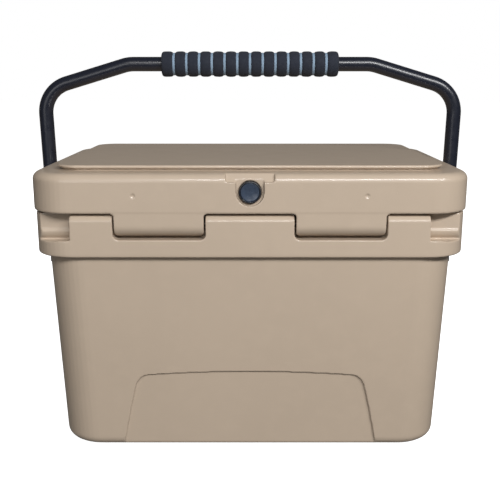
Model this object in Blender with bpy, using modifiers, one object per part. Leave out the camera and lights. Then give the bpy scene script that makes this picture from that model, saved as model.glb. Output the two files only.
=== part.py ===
"""Rotomoulded cooler chest with a bail handle, in metres, +Z up.

-Y is the hinge side, +Y is the latch side, and the floor is z = 0 under the middle of the chest.
"""
import math

import bmesh
import bpy
from mathutils import Matrix, Vector

# ---------------------------------------------------------------- driving dimensions
GAP = 0.0003                     # clearance between touching pieces
SKIN = 0.004                     # moulded wall of the shells
CORNER_STEPS = 4                 # facets in a quarter turn of a plan corner
RING_SPACING = 0.0005            # least height between the rings of an inset bottom rounding
SMOOTH_BELOW = 30                # degrees between faces that are shaded as one surface

BASE_HALF = (0.225, 0.138)       # lower body, just above its bottom rounding
NECK_HALF = (0.2315, 0.1455)     # lower body, under the rim
RIM_HALF = (0.2423, 0.1573)
LID_HALF = (0.244, 0.159)
PLATEAU_HALF = (0.214, 0.133)
CORNER = 0.045                   # plan corner of body, rim and lid
PLATEAU_CORNER = 0.026

UNDERSIDE_Z = 0.0015
BOTTOM_ROUND = 0.012
RIM_BOTTOM_Z = 0.2376
RIM_EDGE = 0.0035                # rounding under the rim's outer edge
TOP_EDGE = 0.0015
RIM_TOP_Z = 0.286
LID_BOTTOM_Z = RIM_TOP_Z + GAP
LID_TOP_Z = 0.331
LID_ROUND = 0.009
PLATEAU_Z = 0.337

MOUTH_HALF = (0.190, 0.107)
FLOOR_HALF = (0.184, 0.101)
FLOOR_Z = 0.045
MOUTH_ROUND = 0.003
FLOOR_ROUND = 0.015
CAVITY_CORNER = 0.032
TONGUE_HALF = (0.184, 0.101)     # the lid's underside step that drops into the mouth
TONGUE_Z = 0.2743

PIN_Y = -0.146
PIN_Z = 0.2735
PIN_R = 0.003
PIN_HALF_LENGTH = 0.193
KNUCKLE_R = 0.0127
TAB_X = (0.050, 0.1487)
POCKET_X = (0.0489, 0.1498)
POCKET_R = 0.015
LUG_R = 0.0124                   # the lugs' rounded top edge, about the pin
LUG_END_X = 0.197
LEDGE_Z = 0.2575
NOTCH_Y = -0.1418                # face behind each tie-down notch
NOTCH_UNDERCUT_R = 0.007
PIN_CAP_X = 0.199                # outer end of the plugs that close the pin's bore
PIN_CAP_R = 0.0055
RAIL_WALL_Y = -0.130             # the rim is solid behind this plane and above RAIL_FOOT_Z
RAIL_FOOT_Z = 0.250

OUTSIDE = 0.26                   # a coordinate clear of the chest on every side

ARCH_TOP_Z = 0.098
ARCH_DEPTH = 0.003

VALVE_Z = 0.3104
VALVE_FLOOR_Y = -0.151
VALVE_RECESS_R = 0.0152
VALVE_NOTCH_HALF = 0.0267
VALVE_NOTCH_Z = 0.321
VALVE_NOTCH_Y = -0.150
VALVE_RING_R = 0.012
VALVE_CAP_R = 0.010
VALVE_BARREL_R = 0.0085
VALVE_RING_Y = -0.1588
VALVE_CAP_Y = (-0.1586, -0.1572)
VALVE_BACK_Y = -0.1300
VALVE_STEM_R = 0.0025
VALVE_BOSS_HALF = 0.034
VALVE_BOSS_Y = -0.124
VENT_R = 0.003
VENT_END_Y = -0.092
VENT_TOP_Z = 0.3149

GROOVE_OUT = (0.2045, 0.1215)
GROOVE_IN = (0.1965, 0.1135)
GROOVE_DEPTH = 0.0045

LATCH_X = 0.120
LATCH_PIN_Y = 0.151
LATCH_PIN_Z = 0.3135
LATCH_PIN_R = 0.0025
LATCH_BARREL_R = 0.007
LATCH_RECESS_HALF = 0.024
LATCH_RECESS_TOP_Z = 0.324
LATCH_RECESS_Y = 0.1425
LATCH_PIN_HALF = 0.029
LATCH_HEAD_HALF = 0.021
LATCH_STRAP_HALF = 0.015
LATCH_FRONT_Y = 0.1573
LATCH_BACK_Y = 0.1505
LATCH_END_Z = 0.229
LATCH_EAR_Z = (0.241, 0.255)
LATCH_EAR_BACK_Y = 0.1524
KEEPER_BACK_Y = 0.147
KEEPER_BOSS_Y = 0.134            # the body is solid behind each keeper from here outward
KEEPER_BOSS_Z = 0.230
KEEPER_Z = (0.242, 0.270)
KEEPER_THICK = 0.002
KEEPER_HALF = 0.0205
KEEPER_RIB_X = 0.0185
KEEPER_RIB_HALF = 0.002
KEEPER_RIB_Y = 0.1520
KEEPER_RIB_TOP_Z = 0.260
KEEPER_SCREW_Z = 0.265
KEEPER_SCREW_X = 0.010
KEEPER_SCREW_R = 0.0018
KEEPER_HEAD_R = 0.0034

FOOT_XY = (0.165, 0.100)
FOOT_HALF = (0.030, 0.015)
FOOT_TOP_Z = 0.005
FOOT_SCREW_R = 0.002
FOOT_HEAD_R = 0.004
FOOT_HEAD_Z = (0.001, 0.0027)
FOOT_SCREW_END_Z = 0.016

BODY_PORT_R = 0.012              # the foam's filling ports, on the chest's middle line
LID_PORT_R = 0.010

PIVOT_Z = 0.185
PIVOT_BOLT_R = 0.003
INSERT_X = (0.215, 0.2392)
INSERT_R = 0.0055
BOSS_R = 0.020
PIVOT_BOSS_X = 0.2105            # the wall is solid around each insert from here outward
BOSS_ROOT_X = 0.222
BOSS_FACE_X = 0.2395
EYE_X = (0.2416, 0.2524)
EYE_R = 0.013
BUSH_R = 0.006
TUBE_R = 0.00875
TUBE_BORE_R = 0.007
LEG_FOOT_X = 0.2525              # tube centre at the height of the pivot
LEG_TOP = (0.2567, 0.415)        # where leg and slope would meet
SLOPE_TOP = (0.1506, 0.4467)     # where slope and grip would meet
TUBE_END_Z = 0.2033
LOWER_BEND_R = 0.0385
UPPER_BEND_R = 0.045
EYE_NECK_Z = 0.1985
COLLAR_FOOT_Z = 0.1960
PLUG_Z = (0.2010, 0.2280)
RIVET_Z = 0.214
RIVET_R = 0.002
RIVET_HEAD_R = 0.0034
RIVET_HEAD_Y = 0.0102            # outer face of a rivet's head
GRIP_R = 0.0155
GRIP_HALF = 0.109
GRIP_END_R = 0.0135
GRIP_END_ROUND = 0.002
GRIP_GROOVES = 13
GRIP_GROOVE_R = 0.0133
GRIP_GROOVE_HALF = 0.0015
GROOVE_PITCH = 0.0156

TAN = (0.47, 0.39, 0.31)
FOAM_CREAM = (0.80, 0.74, 0.55)
BLACK = (0.012, 0.013, 0.016)
RUBBER_GREY = (0.03, 0.03, 0.032)
STEEL = (0.55, 0.55, 0.56)
BRASS = (0.60, 0.45, 0.20)
NYLON = (0.75, 0.74, 0.70)

SIDES = ((-1, "left"), (1, "right"))


# ---------------------------------------------------------------- scene helpers
def clear_scene():
    for obj in list(bpy.data.objects):
        bpy.data.objects.remove(obj, do_unlink=True)


def new_collection(name):
    collection = bpy.data.collections.new(name)
    bpy.context.scene.collection.children.link(collection)
    return collection


clear_scene()
PARTS = new_collection("cooler_chest")
CUTTERS = new_collection("cutters")


def material(name, colour, roughness, metallic=0.0):
    mat = bpy.data.materials.new(name)
    mat.use_nodes = True
    shader = mat.node_tree.nodes["Principled BSDF"]
    shader.inputs["Base Color"].default_value = (*colour, 1.0)
    shader.inputs["Roughness"].default_value = roughness
    shader.inputs["Metallic"].default_value = metallic
    return mat


def mesh_object(name, bm, tool=False):
    """Link a bmesh as a part, or as a hidden cutter when tool is True."""
    bmesh.ops.recalc_face_normals(bm, faces=bm.faces)
    mesh = bpy.data.meshes.new(name)
    bm.to_mesh(mesh)
    bm.free()
    obj = bpy.data.objects.new(name, mesh)
    (CUTTERS if tool else PARTS).objects.link(obj)
    if tool:
        obj.hide_render = True
        obj.display_type = "WIRE"
    return obj


def finish(obj, colour, roughness, metallic=0.0):
    obj.data.materials.append(material(obj.name + "_material", colour, roughness, metallic))
    obj.data.shade_smooth()
    obj.data.set_sharp_from_angle(angle=math.radians(SMOOTH_BELOW))
    return obj


def boolean(obj, tool, operation="DIFFERENCE"):
    modifier = obj.modifiers.new(operation.lower() + "_" + tool.name, "BOOLEAN")
    modifier.object = tool
    modifier.operation = operation
    return obj


def hang_on(name, point, objects):
    """Parent a moving body's pieces to an empty on its joint's axis."""
    axis = bpy.data.objects.new(name, None)
    axis.location = point
    PARTS.objects.link(axis)
    for obj in objects:
        obj.parent = axis
        obj.matrix_parent_inverse = Matrix.Translation(-Vector(point))


# ---------------------------------------------------------------- shape helpers
def rounded_ring(half, corner, z):
    """Points of a rounded rectangle at height z, anticlockwise from the +X side."""
    points = []
    for quarter, (sx, sy) in enumerate(((1, 1), (-1, 1), (-1, -1), (1, -1))):
        cx = sx * (half[0] - corner)
        cy = sy * (half[1] - corner)
        for step in range(CORNER_STEPS + 1):
            angle = math.radians(90 * (quarter + step / CORNER_STEPS))
            points.append((cx + corner * math.cos(angle), cy + corner * math.sin(angle), z))
    return points


def loft(name, rings, tool=False, closed=False):
    """Skin a stack of rings; capped at both ends, or joined last to first when closed."""
    bm = bmesh.new()
    loops = [[bm.verts.new(point) for point in ring] for ring in rings]
    pairs = list(zip(loops[:-1], loops[1:]))
    if closed:
        pairs.append((loops[-1], loops[0]))
    else:
        bm.faces.new(loops[0][::-1])
        bm.faces.new(loops[-1])
    for low, high in pairs:
        for i in range(len(low)):
            j = (i + 1) % len(low)
            bm.faces.new((low[i], low[j], high[j], high[i]))
    return mesh_object(name, bm, tool)


def grown(half, amount):
    return (half[0] + amount, half[1] + amount)


def box(name, low, high, tool=False, bevel=0.0):
    low, high = Vector(low), Vector(high)
    bm = bmesh.new()
    bmesh.ops.create_cube(bm, size=1.0)
    size = high - low
    bmesh.ops.scale(bm, vec=size, verts=bm.verts)
    bmesh.ops.translate(bm, vec=(low + high) / 2, verts=bm.verts)
    if bevel:
        bmesh.ops.bevel(bm, geom=bm.edges[:], offset=bevel, segments=2, profile=0.5, affect="EDGES")
    return mesh_object(name, bm, tool)


def axis_matrix(axis, point):
    """Turn local +Z to the named world axis and move it to the point."""
    turns = {
        "X": Matrix.Rotation(math.radians(90), 4, "Y"),
        "Y": Matrix.Rotation(math.radians(-90), 4, "X"),
        "Z": Matrix.Identity(4),
    }
    return Matrix.Translation(Vector(point)) @ turns[axis]


def rod(name, axis, start, end, centre, radius, tool=False, sides=20, tip=None):
    """Cylinder, or cone to radius tip, along an axis between two coordinates of that axis."""
    point = list(centre)
    point["XYZ".index(axis)] = (start + end) / 2
    bm = bmesh.new()
    bmesh.ops.create_cone(
        bm, cap_ends=True, segments=sides, radius1=radius,
        radius2=radius if tip is None else tip, depth=end - start,
        matrix=axis_matrix(axis, point),
    )
    return mesh_object(name, bm, tool)


def turned(name, axis, centre, profile, sides=20):
    """Screw a closed (radius, along) profile about an axis; it runs down its outer side."""
    mesh = bpy.data.meshes.new(name)
    corners = [(radius, 0.0, along) for radius, along in profile]
    edges = [(i, (i + 1) % len(corners)) for i in range(len(corners))]
    mesh.from_pydata(corners, edges, [])
    obj = bpy.data.objects.new(name, mesh)
    PARTS.objects.link(obj)
    obj.matrix_world = axis_matrix(axis, centre)
    screw = obj.modifiers.new("turn", "SCREW")
    screw.steps = sides
    screw.render_steps = sides
    screw.use_smooth_shade = False
    screw.use_merge_vertices = True
    screw.merge_threshold = 0.00001
    return obj


def washer(name, axis, centre, inner, outer, low, high, sides=20):
    profile = [(outer, high), (outer, low), (inner, low), (inner, high)]
    return turned(name, axis, centre, profile, sides)


def arc(centre, radius, start, end, steps):
    """Points on an arc in degrees, both ends included."""
    points = []
    for step in range(steps + 1):
        angle = math.radians(start + (end - start) * step / steps)
        points.append((centre[0] + radius * math.cos(angle), centre[1] + radius * math.sin(angle)))
    return points


def curve_to_mesh(obj, name, tool):
    """Swap a curve object for the mesh it evaluates to, with its caps welded."""
    graph = bpy.context.evaluated_depsgraph_get()
    mesh = bpy.data.meshes.new_from_object(obj.evaluated_get(graph))
    bm = bmesh.new()
    bm.from_mesh(mesh)
    bmesh.ops.remove_doubles(bm, verts=bm.verts, dist=1e-6)
    bmesh.ops.transform(bm, matrix=obj.matrix_world, verts=bm.verts)
    bpy.data.objects.remove(obj, do_unlink=True)
    return mesh_object(name, bm, tool)


def outline_solid(name, outline, plane, low, high, tool=False):
    """Extrude an outline in the YZ plane along X, or in the XZ plane along Y."""
    curve = bpy.data.curves.new(name + "_outline", "CURVE")
    curve.dimensions = "2D"
    curve.fill_mode = "BOTH"
    curve.extrude = (high - low) / 2
    spline = curve.splines.new("POLY")
    spline.points.add(len(outline) - 1)
    for point, (u, v) in zip(spline.points, outline):
        point.co = (u, v, 0.0, 1.0)
    spline.use_cyclic_u = True
    obj = bpy.data.objects.new(name + "_outline", curve)
    CUTTERS.objects.link(obj)
    middle = (low + high) / 2
    if plane == "YZ":
        turn = Matrix(((0, 0, 1, middle), (1, 0, 0, 0), (0, 1, 0, 0), (0, 0, 0, 1)))
    else:
        turn = Matrix(((1, 0, 0, 0), (0, 0, -1, middle), (0, 1, 0, 0), (0, 0, 0, 1)))
    obj.matrix_world = turn
    bpy.context.view_layer.update()
    return curve_to_mesh(obj, name, tool)


def swept_tube(name, points, radius, tool=False, resolution=3):
    """Round tube along points, as a capped mesh."""
    curve = bpy.data.curves.new(name + "_path", "CURVE")
    curve.dimensions = "3D"
    curve.bevel_depth = radius
    curve.bevel_resolution = resolution
    curve.use_fill_caps = True
    spline = curve.splines.new("POLY")
    spline.points.add(len(points) - 1)
    for point, place in zip(spline.points, points):
        point.co = (*place, 1.0)
    obj = bpy.data.objects.new(name + "_path", curve)
    CUTTERS.objects.link(obj)
    bpy.context.view_layer.update()
    return curve_to_mesh(obj, name, tool)


# ---------------------------------------------------------------- body
def lower_half(z):
    """Half width and half depth of the drafted lower body at height z."""
    share = (z - BOTTOM_ROUND) / (RIM_BOTTOM_Z - BOTTOM_ROUND)
    return tuple(low + (high - low) * share for low, high in zip(BASE_HALF, NECK_HALF))


def body_rings(inset):
    """Rings from the underside, over the rim and down to the cavity floor, inset into the wall."""
    rings = []
    for pull, z in arc((0.0, UNDERSIDE_Z + BOTTOM_ROUND), BOTTOM_ROUND, -90, 0, 4):
        inward = BOTTOM_ROUND - pull
        z = max(z, UNDERSIDE_Z + inset + len(rings) * RING_SPACING)
        rings.append(rounded_ring(grown(lower_half(z), -inward - inset), CORNER - inward * 0.6, z))
    under = RIM_BOTTOM_Z + inset
    outer = CORNER - inset
    rings.append(rounded_ring(grown(NECK_HALF, -inset), outer, under))
    for inward, rise in ((RIM_EDGE, 0.0), (RIM_EDGE * 0.3, RIM_EDGE * 0.3), (0.0, RIM_EDGE)):
        rings.append(rounded_ring(grown(RIM_HALF, -inset - inward), outer, under + rise))
    top = RIM_TOP_Z - inset
    rings.append(rounded_ring(grown(RIM_HALF, -inset), outer, top - TOP_EDGE))
    rings.append(rounded_ring(grown(RIM_HALF, -inset - TOP_EDGE), outer, top))
    inner = CAVITY_CORNER + inset
    for outward, drop in ((MOUTH_ROUND, 0.0), (MOUTH_ROUND * 0.3, MOUTH_ROUND * 0.3), (0.0, MOUTH_ROUND)):
        rings.append(rounded_ring(grown(MOUTH_HALF, inset + outward), inner, top - drop))
    for outward, z in arc((-FLOOR_ROUND, FLOOR_Z - inset + FLOOR_ROUND), FLOOR_ROUND, 0, -90, 3):
        rings.append(rounded_ring(grown(FLOOR_HALF, inset + outward), inner + outward * 0.6, z))
    return rings


def arch_outline(grow):
    """Arched panel outline, wider at its foot, in X and height above the chest's underside."""
    foot = [(0.154 + grow, -0.020), (0.1445 + grow, 0.030), (0.1345 + grow, 0.076)]
    shoulder = arc((0.1145 + grow, 0.0745 + grow), 0.0195, 10, 78, 4)
    crown = [(0.085, ARCH_TOP_Z - 0.0025 + grow), (0.045, ARCH_TOP_Z - 0.0007 + grow)]
    right = foot + shoulder + crown
    return right + [(-x, z) for x, z in reversed(right)]


def arch_cutters(label, grow):
    """Front and rear panel cutters, leaned to follow the drafted walls."""
    lean = math.atan2(NECK_HALF[1] - BASE_HALF[1], RIM_BOTTOM_Z - BOTTOM_ROUND)
    half_depth = 0.02
    tools = []
    for side, name in ((-1, "rear"), (1, "front")):
        outline = arch_outline(grow)
        tool = outline_solid(label + "_" + name, outline, "XZ", -half_depth, half_depth, tool=True)
        face = BASE_HALF[1] - ARCH_DEPTH - grow + half_depth
        place = Matrix.Translation((0, side * face, BOTTOM_ROUND))
        shift = Matrix.Translation((0, 0, -BOTTOM_ROUND))
        tool.data.transform(place @ Matrix.Rotation(-side * lean, 4, "X") @ shift)
        tools.append(tool)
    return tools


def body_foam_space(name, inset, tool):
    """The foam-filled space between the body's two skins, clear of every solid boss."""
    space = loft(name, body_rings(inset), tool)
    cutters = arch_cutters(name + "_arch", inset)
    rail_low = (-OUTSIDE, -OUTSIDE, RAIL_FOOT_Z - inset)
    cutters.append(box(name + "_rail", rail_low, (OUTSIDE, RAIL_WALL_Y + inset, RIM_TOP_Z + SKIN), True))
    for side, tag in SIDES:
        pad = LATCH_RECESS_HALF + SKIN + inset
        low = (side * LATCH_X - pad, KEEPER_BOSS_Y - inset, KEEPER_BOSS_Z - inset)
        high = (side * LATCH_X + pad, OUTSIDE, RIM_TOP_Z + SKIN)
        cutters.append(box(name + "_keeper_" + tag, low, high, True))
        start, end = sorted((side * (PIVOT_BOSS_X - inset), side * OUTSIDE))
        boss_r = INSERT_R + SKIN + GAP + inset
        cutters.append(rod(name + "_boss_" + tag, "X", start, end, (0, 0, PIVOT_Z), boss_r, True))
    for (x, y), tag in foot_places():
        pad = grown(FOOT_HALF, SKIN + inset)
        low = (x - pad[0], y - pad[1], -SKIN)
        high = (x + pad[0], y + pad[1], FOOT_TOP_Z + SKIN + inset)
        cutters.append(box(name + "_foot_" + tag, low, high, True))
        post_top = FOOT_SCREW_END_Z + SKIN + inset
        post_r = FOOT_SCREW_R + SKIN + inset
        cutters.append(rod(name + "_post_" + tag, "Z", 0.0, post_top, (x, y, 0), post_r, True, 16))
    for cutter in cutters:
        boolean(space, cutter)
    return space


def body_shell():
    shell = loft("body_shell", body_rings(0.0))
    for side, tag in SIDES:
        start, end = sorted((side * BOSS_ROOT_X, side * BOSS_FACE_X))
        boss = rod("pivot_boss_" + tag, "X", start, end, (0, 0, PIVOT_Z), BOSS_R, True, 32)
        boolean(shell, boss, "UNION")
    boolean(shell, body_foam_space("body_foam_cavity", SKIN, True))
    port_top = UNDERSIDE_Z + SKIN + 0.002
    boolean(shell, rod("body_port", "Z", -SKIN, port_top, (0, 0, 0), BODY_PORT_R, True))
    for cutter in arch_cutters("arch", 0.0):
        boolean(shell, cutter)
    cut_hinge_rail(shell)
    cut_keeper_seats(shell)
    cut_pivot_and_foot_seats(shell)
    return finish(shell, TAN, 0.55)


def cut_hinge_rail(shell):
    """Pockets for the lid's knuckles, rounded lugs, tie-down notches and the pin's bore."""
    top = RIM_TOP_Z + 0.01
    behind = -0.175
    pocket = [(behind, PIN_Z - POCKET_R)] + arc((PIN_Y, PIN_Z), POCKET_R, -90, 0, 5)
    pocket += [(PIN_Y + POCKET_R, top), (behind, top)]
    lug = [(behind, PIN_Z)] + arc((PIN_Y, PIN_Z), LUG_R, 180, 90, 6) + [(PIN_Y, top), (behind, top)]
    corner = (NOTCH_Y + NOTCH_UNDERCUT_R, LEDGE_Z + 0.001 + NOTCH_UNDERCUT_R)
    notch = [(behind, LEDGE_Z), (corner[0], LEDGE_Z)]
    notch += arc(corner, NOTCH_UNDERCUT_R, -90, -180, 4) + [(NOTCH_Y, top), (behind, top)]
    reach = LUG_END_X + 0.001
    boolean(shell, outline_solid("lug_rounding", lug, "YZ", -reach, reach, True))
    centre = (0, PIN_Y, PIN_Z)
    for side, tag in SIDES:
        low, high = sorted((side * POCKET_X[0], side * POCKET_X[1]))
        boolean(shell, outline_solid("pocket_" + tag, pocket, "YZ", low, high, True))
        low, high = sorted((side * LUG_END_X, side * OUTSIDE))
        boolean(shell, outline_solid("notch_" + tag, notch, "YZ", low, high, True))
        low, high = sorted((side * PIN_HALF_LENGTH, side * PIN_CAP_X))
        boolean(shell, rod("cap_seat_" + tag, "X", low, high, centre, PIN_CAP_R + GAP, True))
    reach = PIN_HALF_LENGTH + 0.0005
    boolean(shell, rod("pin_bore", "X", -reach, reach, centre, PIN_R + GAP, True, 16))


def cut_keeper_seats(shell):
    for side, tag in SIDES:
        x = side * LATCH_X
        low = (x - LATCH_RECESS_HALF, KEEPER_BACK_Y, RIM_BOTTOM_Z - 0.002)
        high = (x + LATCH_RECESS_HALF, OUTSIDE, RIM_TOP_Z + 0.01)
        boolean(shell, box("keeper_seat_" + tag, low, high, True))
        for place, mark in keeper_screw_places(x):
            hole = rod("keeper_hole_" + tag + mark, "Y", 0.1355, 0.149, place, KEEPER_SCREW_R + GAP, True, 16)
            boolean(shell, hole)


def foot_places():
    """Centre and name of each foot."""
    rows = ((-1, "rear_"), (1, "front_"))
    return [((sx * FOOT_XY[0], sy * FOOT_XY[1]), row + tag) for sx, tag in SIDES for sy, row in rows]


def cut_pivot_and_foot_seats(shell):
    for side, tag in SIDES:
        start, end = sorted((side * (INSERT_X[0] - GAP), side * OUTSIDE))
        hole = rod("insert_hole_" + tag, "X", start, end, (0, 0, PIVOT_Z), INSERT_R + GAP, True)
        boolean(shell, hole)
    for (x, y), tag in foot_places():
        seat = grown(FOOT_HALF, GAP)
        low = (x - seat[0], y - seat[1], -SKIN)
        high = (x + seat[0], y + seat[1], FOOT_TOP_Z + GAP)
        boolean(shell, box("foot_seat_" + tag, low, high, True))
        hole_top = FOOT_SCREW_END_Z + 0.0005
        hole = rod("foot_hole_" + tag, "Z", 0.004, hole_top, (x, y, 0), FOOT_SCREW_R + GAP, True, 16)
        boolean(shell, hole)


def body_inner_pieces():
    finish(body_foam_space("body_foam_core", SKIN + GAP, False), FOAM_CREAM, 0.9)
    low, high = UNDERSIDE_Z + GAP, UNDERSIDE_Z + SKIN - GAP
    finish(rod("body_fill_plug", "Z", low, high, (0, 0, 0), BODY_PORT_R - GAP), TAN, 0.6)


def feet():
    for (x, y), tag in foot_places():
        low = (x - FOOT_HALF[0], y - FOOT_HALF[1], 0.0)
        foot = box("foot_" + tag, low, (x + FOOT_HALF[0], y + FOOT_HALF[1], FOOT_TOP_Z))
        well_top, well_r = FOOT_HEAD_Z[1] + GAP, FOOT_HEAD_R + 0.0005
        boolean(foot, rod("foot_well_" + tag, "Z", -0.002, well_top, (x, y, 0), well_r, True, 16))
        boolean(foot, rod("foot_bore_" + tag, "Z", 0.001, 0.008, (x, y, 0), FOOT_SCREW_R + GAP, True, 16))
        finish(foot, RUBBER_GREY, 0.8)
        screw = rod("foot_screw_" + tag, "Z", *FOOT_HEAD_Z, (x, y, 0), FOOT_HEAD_R, False, 16)
        shank = rod("foot_shank_" + tag, "Z", 0.002, FOOT_SCREW_END_Z, (x, y, 0), FOOT_SCREW_R, True, 16)
        finish(boolean(screw, shank, "UNION"), STEEL, 0.35, 1.0)


def hinge_pieces():
    centre = (0, PIN_Y, PIN_Z)
    reach = PIN_HALF_LENGTH - GAP
    finish(rod("hinge_pin", "X", -reach, reach, centre, PIN_R, sides=16), STEEL, 0.3, 1.0)
    for side, tag in SIDES:
        low, high = sorted((side * (PIN_HALF_LENGTH + GAP), side * PIN_CAP_X))
        finish(rod("hinge_cap_" + tag, "X", low, high, centre, PIN_CAP_R, sides=16), TAN, 0.6)


# ---------------------------------------------------------------- latches
def keeper_screw_places(x):
    """Centre and name of each of a keeper's two screws."""
    return (((x - KEEPER_SCREW_X, 0, KEEPER_SCREW_Z), "_a"), ((x + KEEPER_SCREW_X, 0, KEEPER_SCREW_Z), "_b"))


def keeper(side, tag):
    """Plate with two ribs that the latch's head rests against, and its two screws."""
    x = side * LATCH_X
    back = KEEPER_BACK_Y + GAP
    face = back + KEEPER_THICK
    low, high = (x - KEEPER_HALF, back, KEEPER_Z[0]), (x + KEEPER_HALF, face, KEEPER_Z[1])
    plate = box("latch_keeper_" + tag, low, high)
    for middle, mark in ((x - KEEPER_RIB_X, "_a"), (x + KEEPER_RIB_X, "_b")):
        low = (middle - KEEPER_RIB_HALF, back, KEEPER_Z[0])
        high = (middle + KEEPER_RIB_HALF, KEEPER_RIB_Y, KEEPER_RIB_TOP_Z)
        boolean(plate, box("keeper_rib_" + tag + mark, low, high, True), "UNION")
    sink_y = face - 0.0013
    clear_y = face + 0.0012
    for place, mark in keeper_screw_places(x):
        label = tag + mark
        bore_r = KEEPER_SCREW_R + GAP
        boolean(plate, rod("keeper_bore_" + label, "Y", 0.146, clear_y, place, bore_r, True, 16))
        sink = rod("keeper_sink_" + label, "Y", sink_y, clear_y, place, KEEPER_HEAD_R + 0.0004, True, 16)
        boolean(plate, sink)
        head = sink_y + GAP
        screw = rod("keeper_screw_" + label, "Y", head, head + 0.0009, place, KEEPER_HEAD_R, False, 16)
        shank = rod("keeper_shank_" + label, "Y", 0.136, head + 0.0005, place, KEEPER_SCREW_R, True, 16)
        finish(boolean(screw, shank, "UNION"), STEEL, 0.35, 1.0)
    finish(plate, STEEL, 0.4, 1.0)


def latch(side, tag):
    """Rubber T latch: barrel on the lid's pin, strap, eared head and finger tab."""
    x = side * LATCH_X
    centre = (0, LATCH_PIN_Y, LATCH_PIN_Z)
    head = LATCH_HEAD_HALF
    strap = LATCH_STRAP_HALF
    piece = rod("latch_" + tag, "X", x - head, x + head, centre, LATCH_BARREL_R, sides=24)
    top = LATCH_PIN_Z - 0.003
    profile = [
        (LATCH_BACK_Y, top), (LATCH_BACK_Y, LATCH_END_Z + 0.003),
        (LATCH_BACK_Y + 0.002, LATCH_END_Z), (LATCH_FRONT_Y - 0.001, LATCH_END_Z),
        (LATCH_FRONT_Y, LATCH_END_Z + 0.002), (LATCH_FRONT_Y - 0.0012, LATCH_END_Z + 0.010),
        (LATCH_FRONT_Y, LATCH_END_Z + 0.014), (LATCH_FRONT_Y, top),
    ]
    boolean(piece, outline_solid("strap_" + tag, profile, "YZ", x - strap, x + strap, True), "UNION")
    low = (x - head, LATCH_EAR_BACK_Y, LATCH_EAR_Z[0])
    high = (x + head, LATCH_FRONT_Y - 0.0004, LATCH_EAR_Z[1])
    boolean(piece, box("ears_" + tag, low, high, True, 0.0015), "UNION")
    reach = LATCH_PIN_HALF + 0.001
    boolean(piece, rod("latch_bore_" + tag, "X", x - reach, x + reach, centre, LATCH_PIN_R + GAP, True, 16))
    finish(piece, RUBBER_GREY, 0.7)
    low, high = x - LATCH_PIN_HALF, x + LATCH_PIN_HALF
    pin = finish(rod("latch_pin_" + tag, "X", low, high, centre, LATCH_PIN_R, sides=16), STEEL, 0.3, 1.0)
    hang_on("latch_axis_" + tag, (x, LATCH_PIN_Y, LATCH_PIN_Z), [piece])
    return pin


# ---------------------------------------------------------------- lid
def lid_rings(inset):
    """Rings from the tongue's underside, out and up to the raised plateau, inset into the wall."""
    under = LID_BOTTOM_Z + inset
    rings = [
        rounded_ring(grown(TONGUE_HALF, -inset - 0.004), 0.026, TONGUE_Z + inset),
        rounded_ring(grown(TONGUE_HALF, -inset - 0.001), 0.028, TONGUE_Z + inset + 0.003),
        rounded_ring(grown(TONGUE_HALF, -inset), 0.028, under),
        rounded_ring(grown(LID_HALF, -inset - 0.003), CORNER - inset, under),
        rounded_ring(grown(LID_HALF, -inset - 0.0009), CORNER - inset, under + 0.0009),
        rounded_ring(grown(LID_HALF, -inset), CORNER - inset, under + 0.003),
    ]
    for step in range(5):
        angle = math.radians(90 * step / 4)
        pull = LID_ROUND * (1 - math.cos(angle))
        z = LID_TOP_Z - inset - LID_ROUND * (1 - math.sin(angle))
        rings.append(rounded_ring(grown(LID_HALF, -inset - pull), CORNER - inset - pull * 0.5, z))
    foot = LID_TOP_Z - inset
    top = PLATEAU_Z - inset
    rings.append(rounded_ring(grown(PLATEAU_HALF, 0.002 - inset), PLATEAU_CORNER, foot))
    rings.append(rounded_ring(grown(PLATEAU_HALF, 0.0005 - inset), PLATEAU_CORNER, top - 0.0016))
    rings.append(rounded_ring(grown(PLATEAU_HALF, -0.002 - inset), PLATEAU_CORNER, top))
    return rings


def gasket_ring(name, grow, top, tool):
    """Rectangular ring around the lid's underside."""
    corner_out = 0.043
    corner_in = 0.035
    low = LID_BOTTOM_Z - (0.002 if tool else 0.0)
    outer = grown(GROOVE_OUT, grow)
    inner = grown(GROOVE_IN, -grow)
    rings = [
        rounded_ring(outer, corner_out, low), rounded_ring(outer, corner_out, top),
        rounded_ring(inner, corner_in, top), rounded_ring(inner, corner_in, low),
    ]
    return loft(name, rings, tool, closed=True)


def lid_foam_space(name, inset, tool):
    """The lid's foam-filled space, clear of the seal's groove, the valve, its vent and the latch pins."""
    space = loft(name, lid_rings(inset), tool)
    cutters = [gasket_ring(name + "_seal_wall", inset, LID_BOTTOM_Z + GROOVE_DEPTH + inset, True)]
    below, above = TONGUE_Z - 0.01, PLATEAU_Z + 0.01
    half = VALVE_BOSS_HALF + inset
    high = (half, VALVE_BOSS_Y + inset, above)
    cutters.append(box(name + "_valve_boss", (-half, -OUTSIDE, below), high, True))
    half = VENT_R + 0.001 + inset
    high = (half, VENT_END_Y + SKIN + inset, VENT_TOP_Z + inset)
    cutters.append(box(name + "_vent_boss", (-half, -OUTSIDE, below), high, True))
    half = LATCH_PIN_HALF + 0.001 + inset
    for side, tag in SIDES:
        x = side * LATCH_X
        low = (x - half, LATCH_RECESS_Y - SKIN - inset, below)
        cutters.append(box(name + "_latch_" + tag, low, (x + half, OUTSIDE, above), True))
    for cutter in cutters:
        boolean(space, cutter)
    return space


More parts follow.
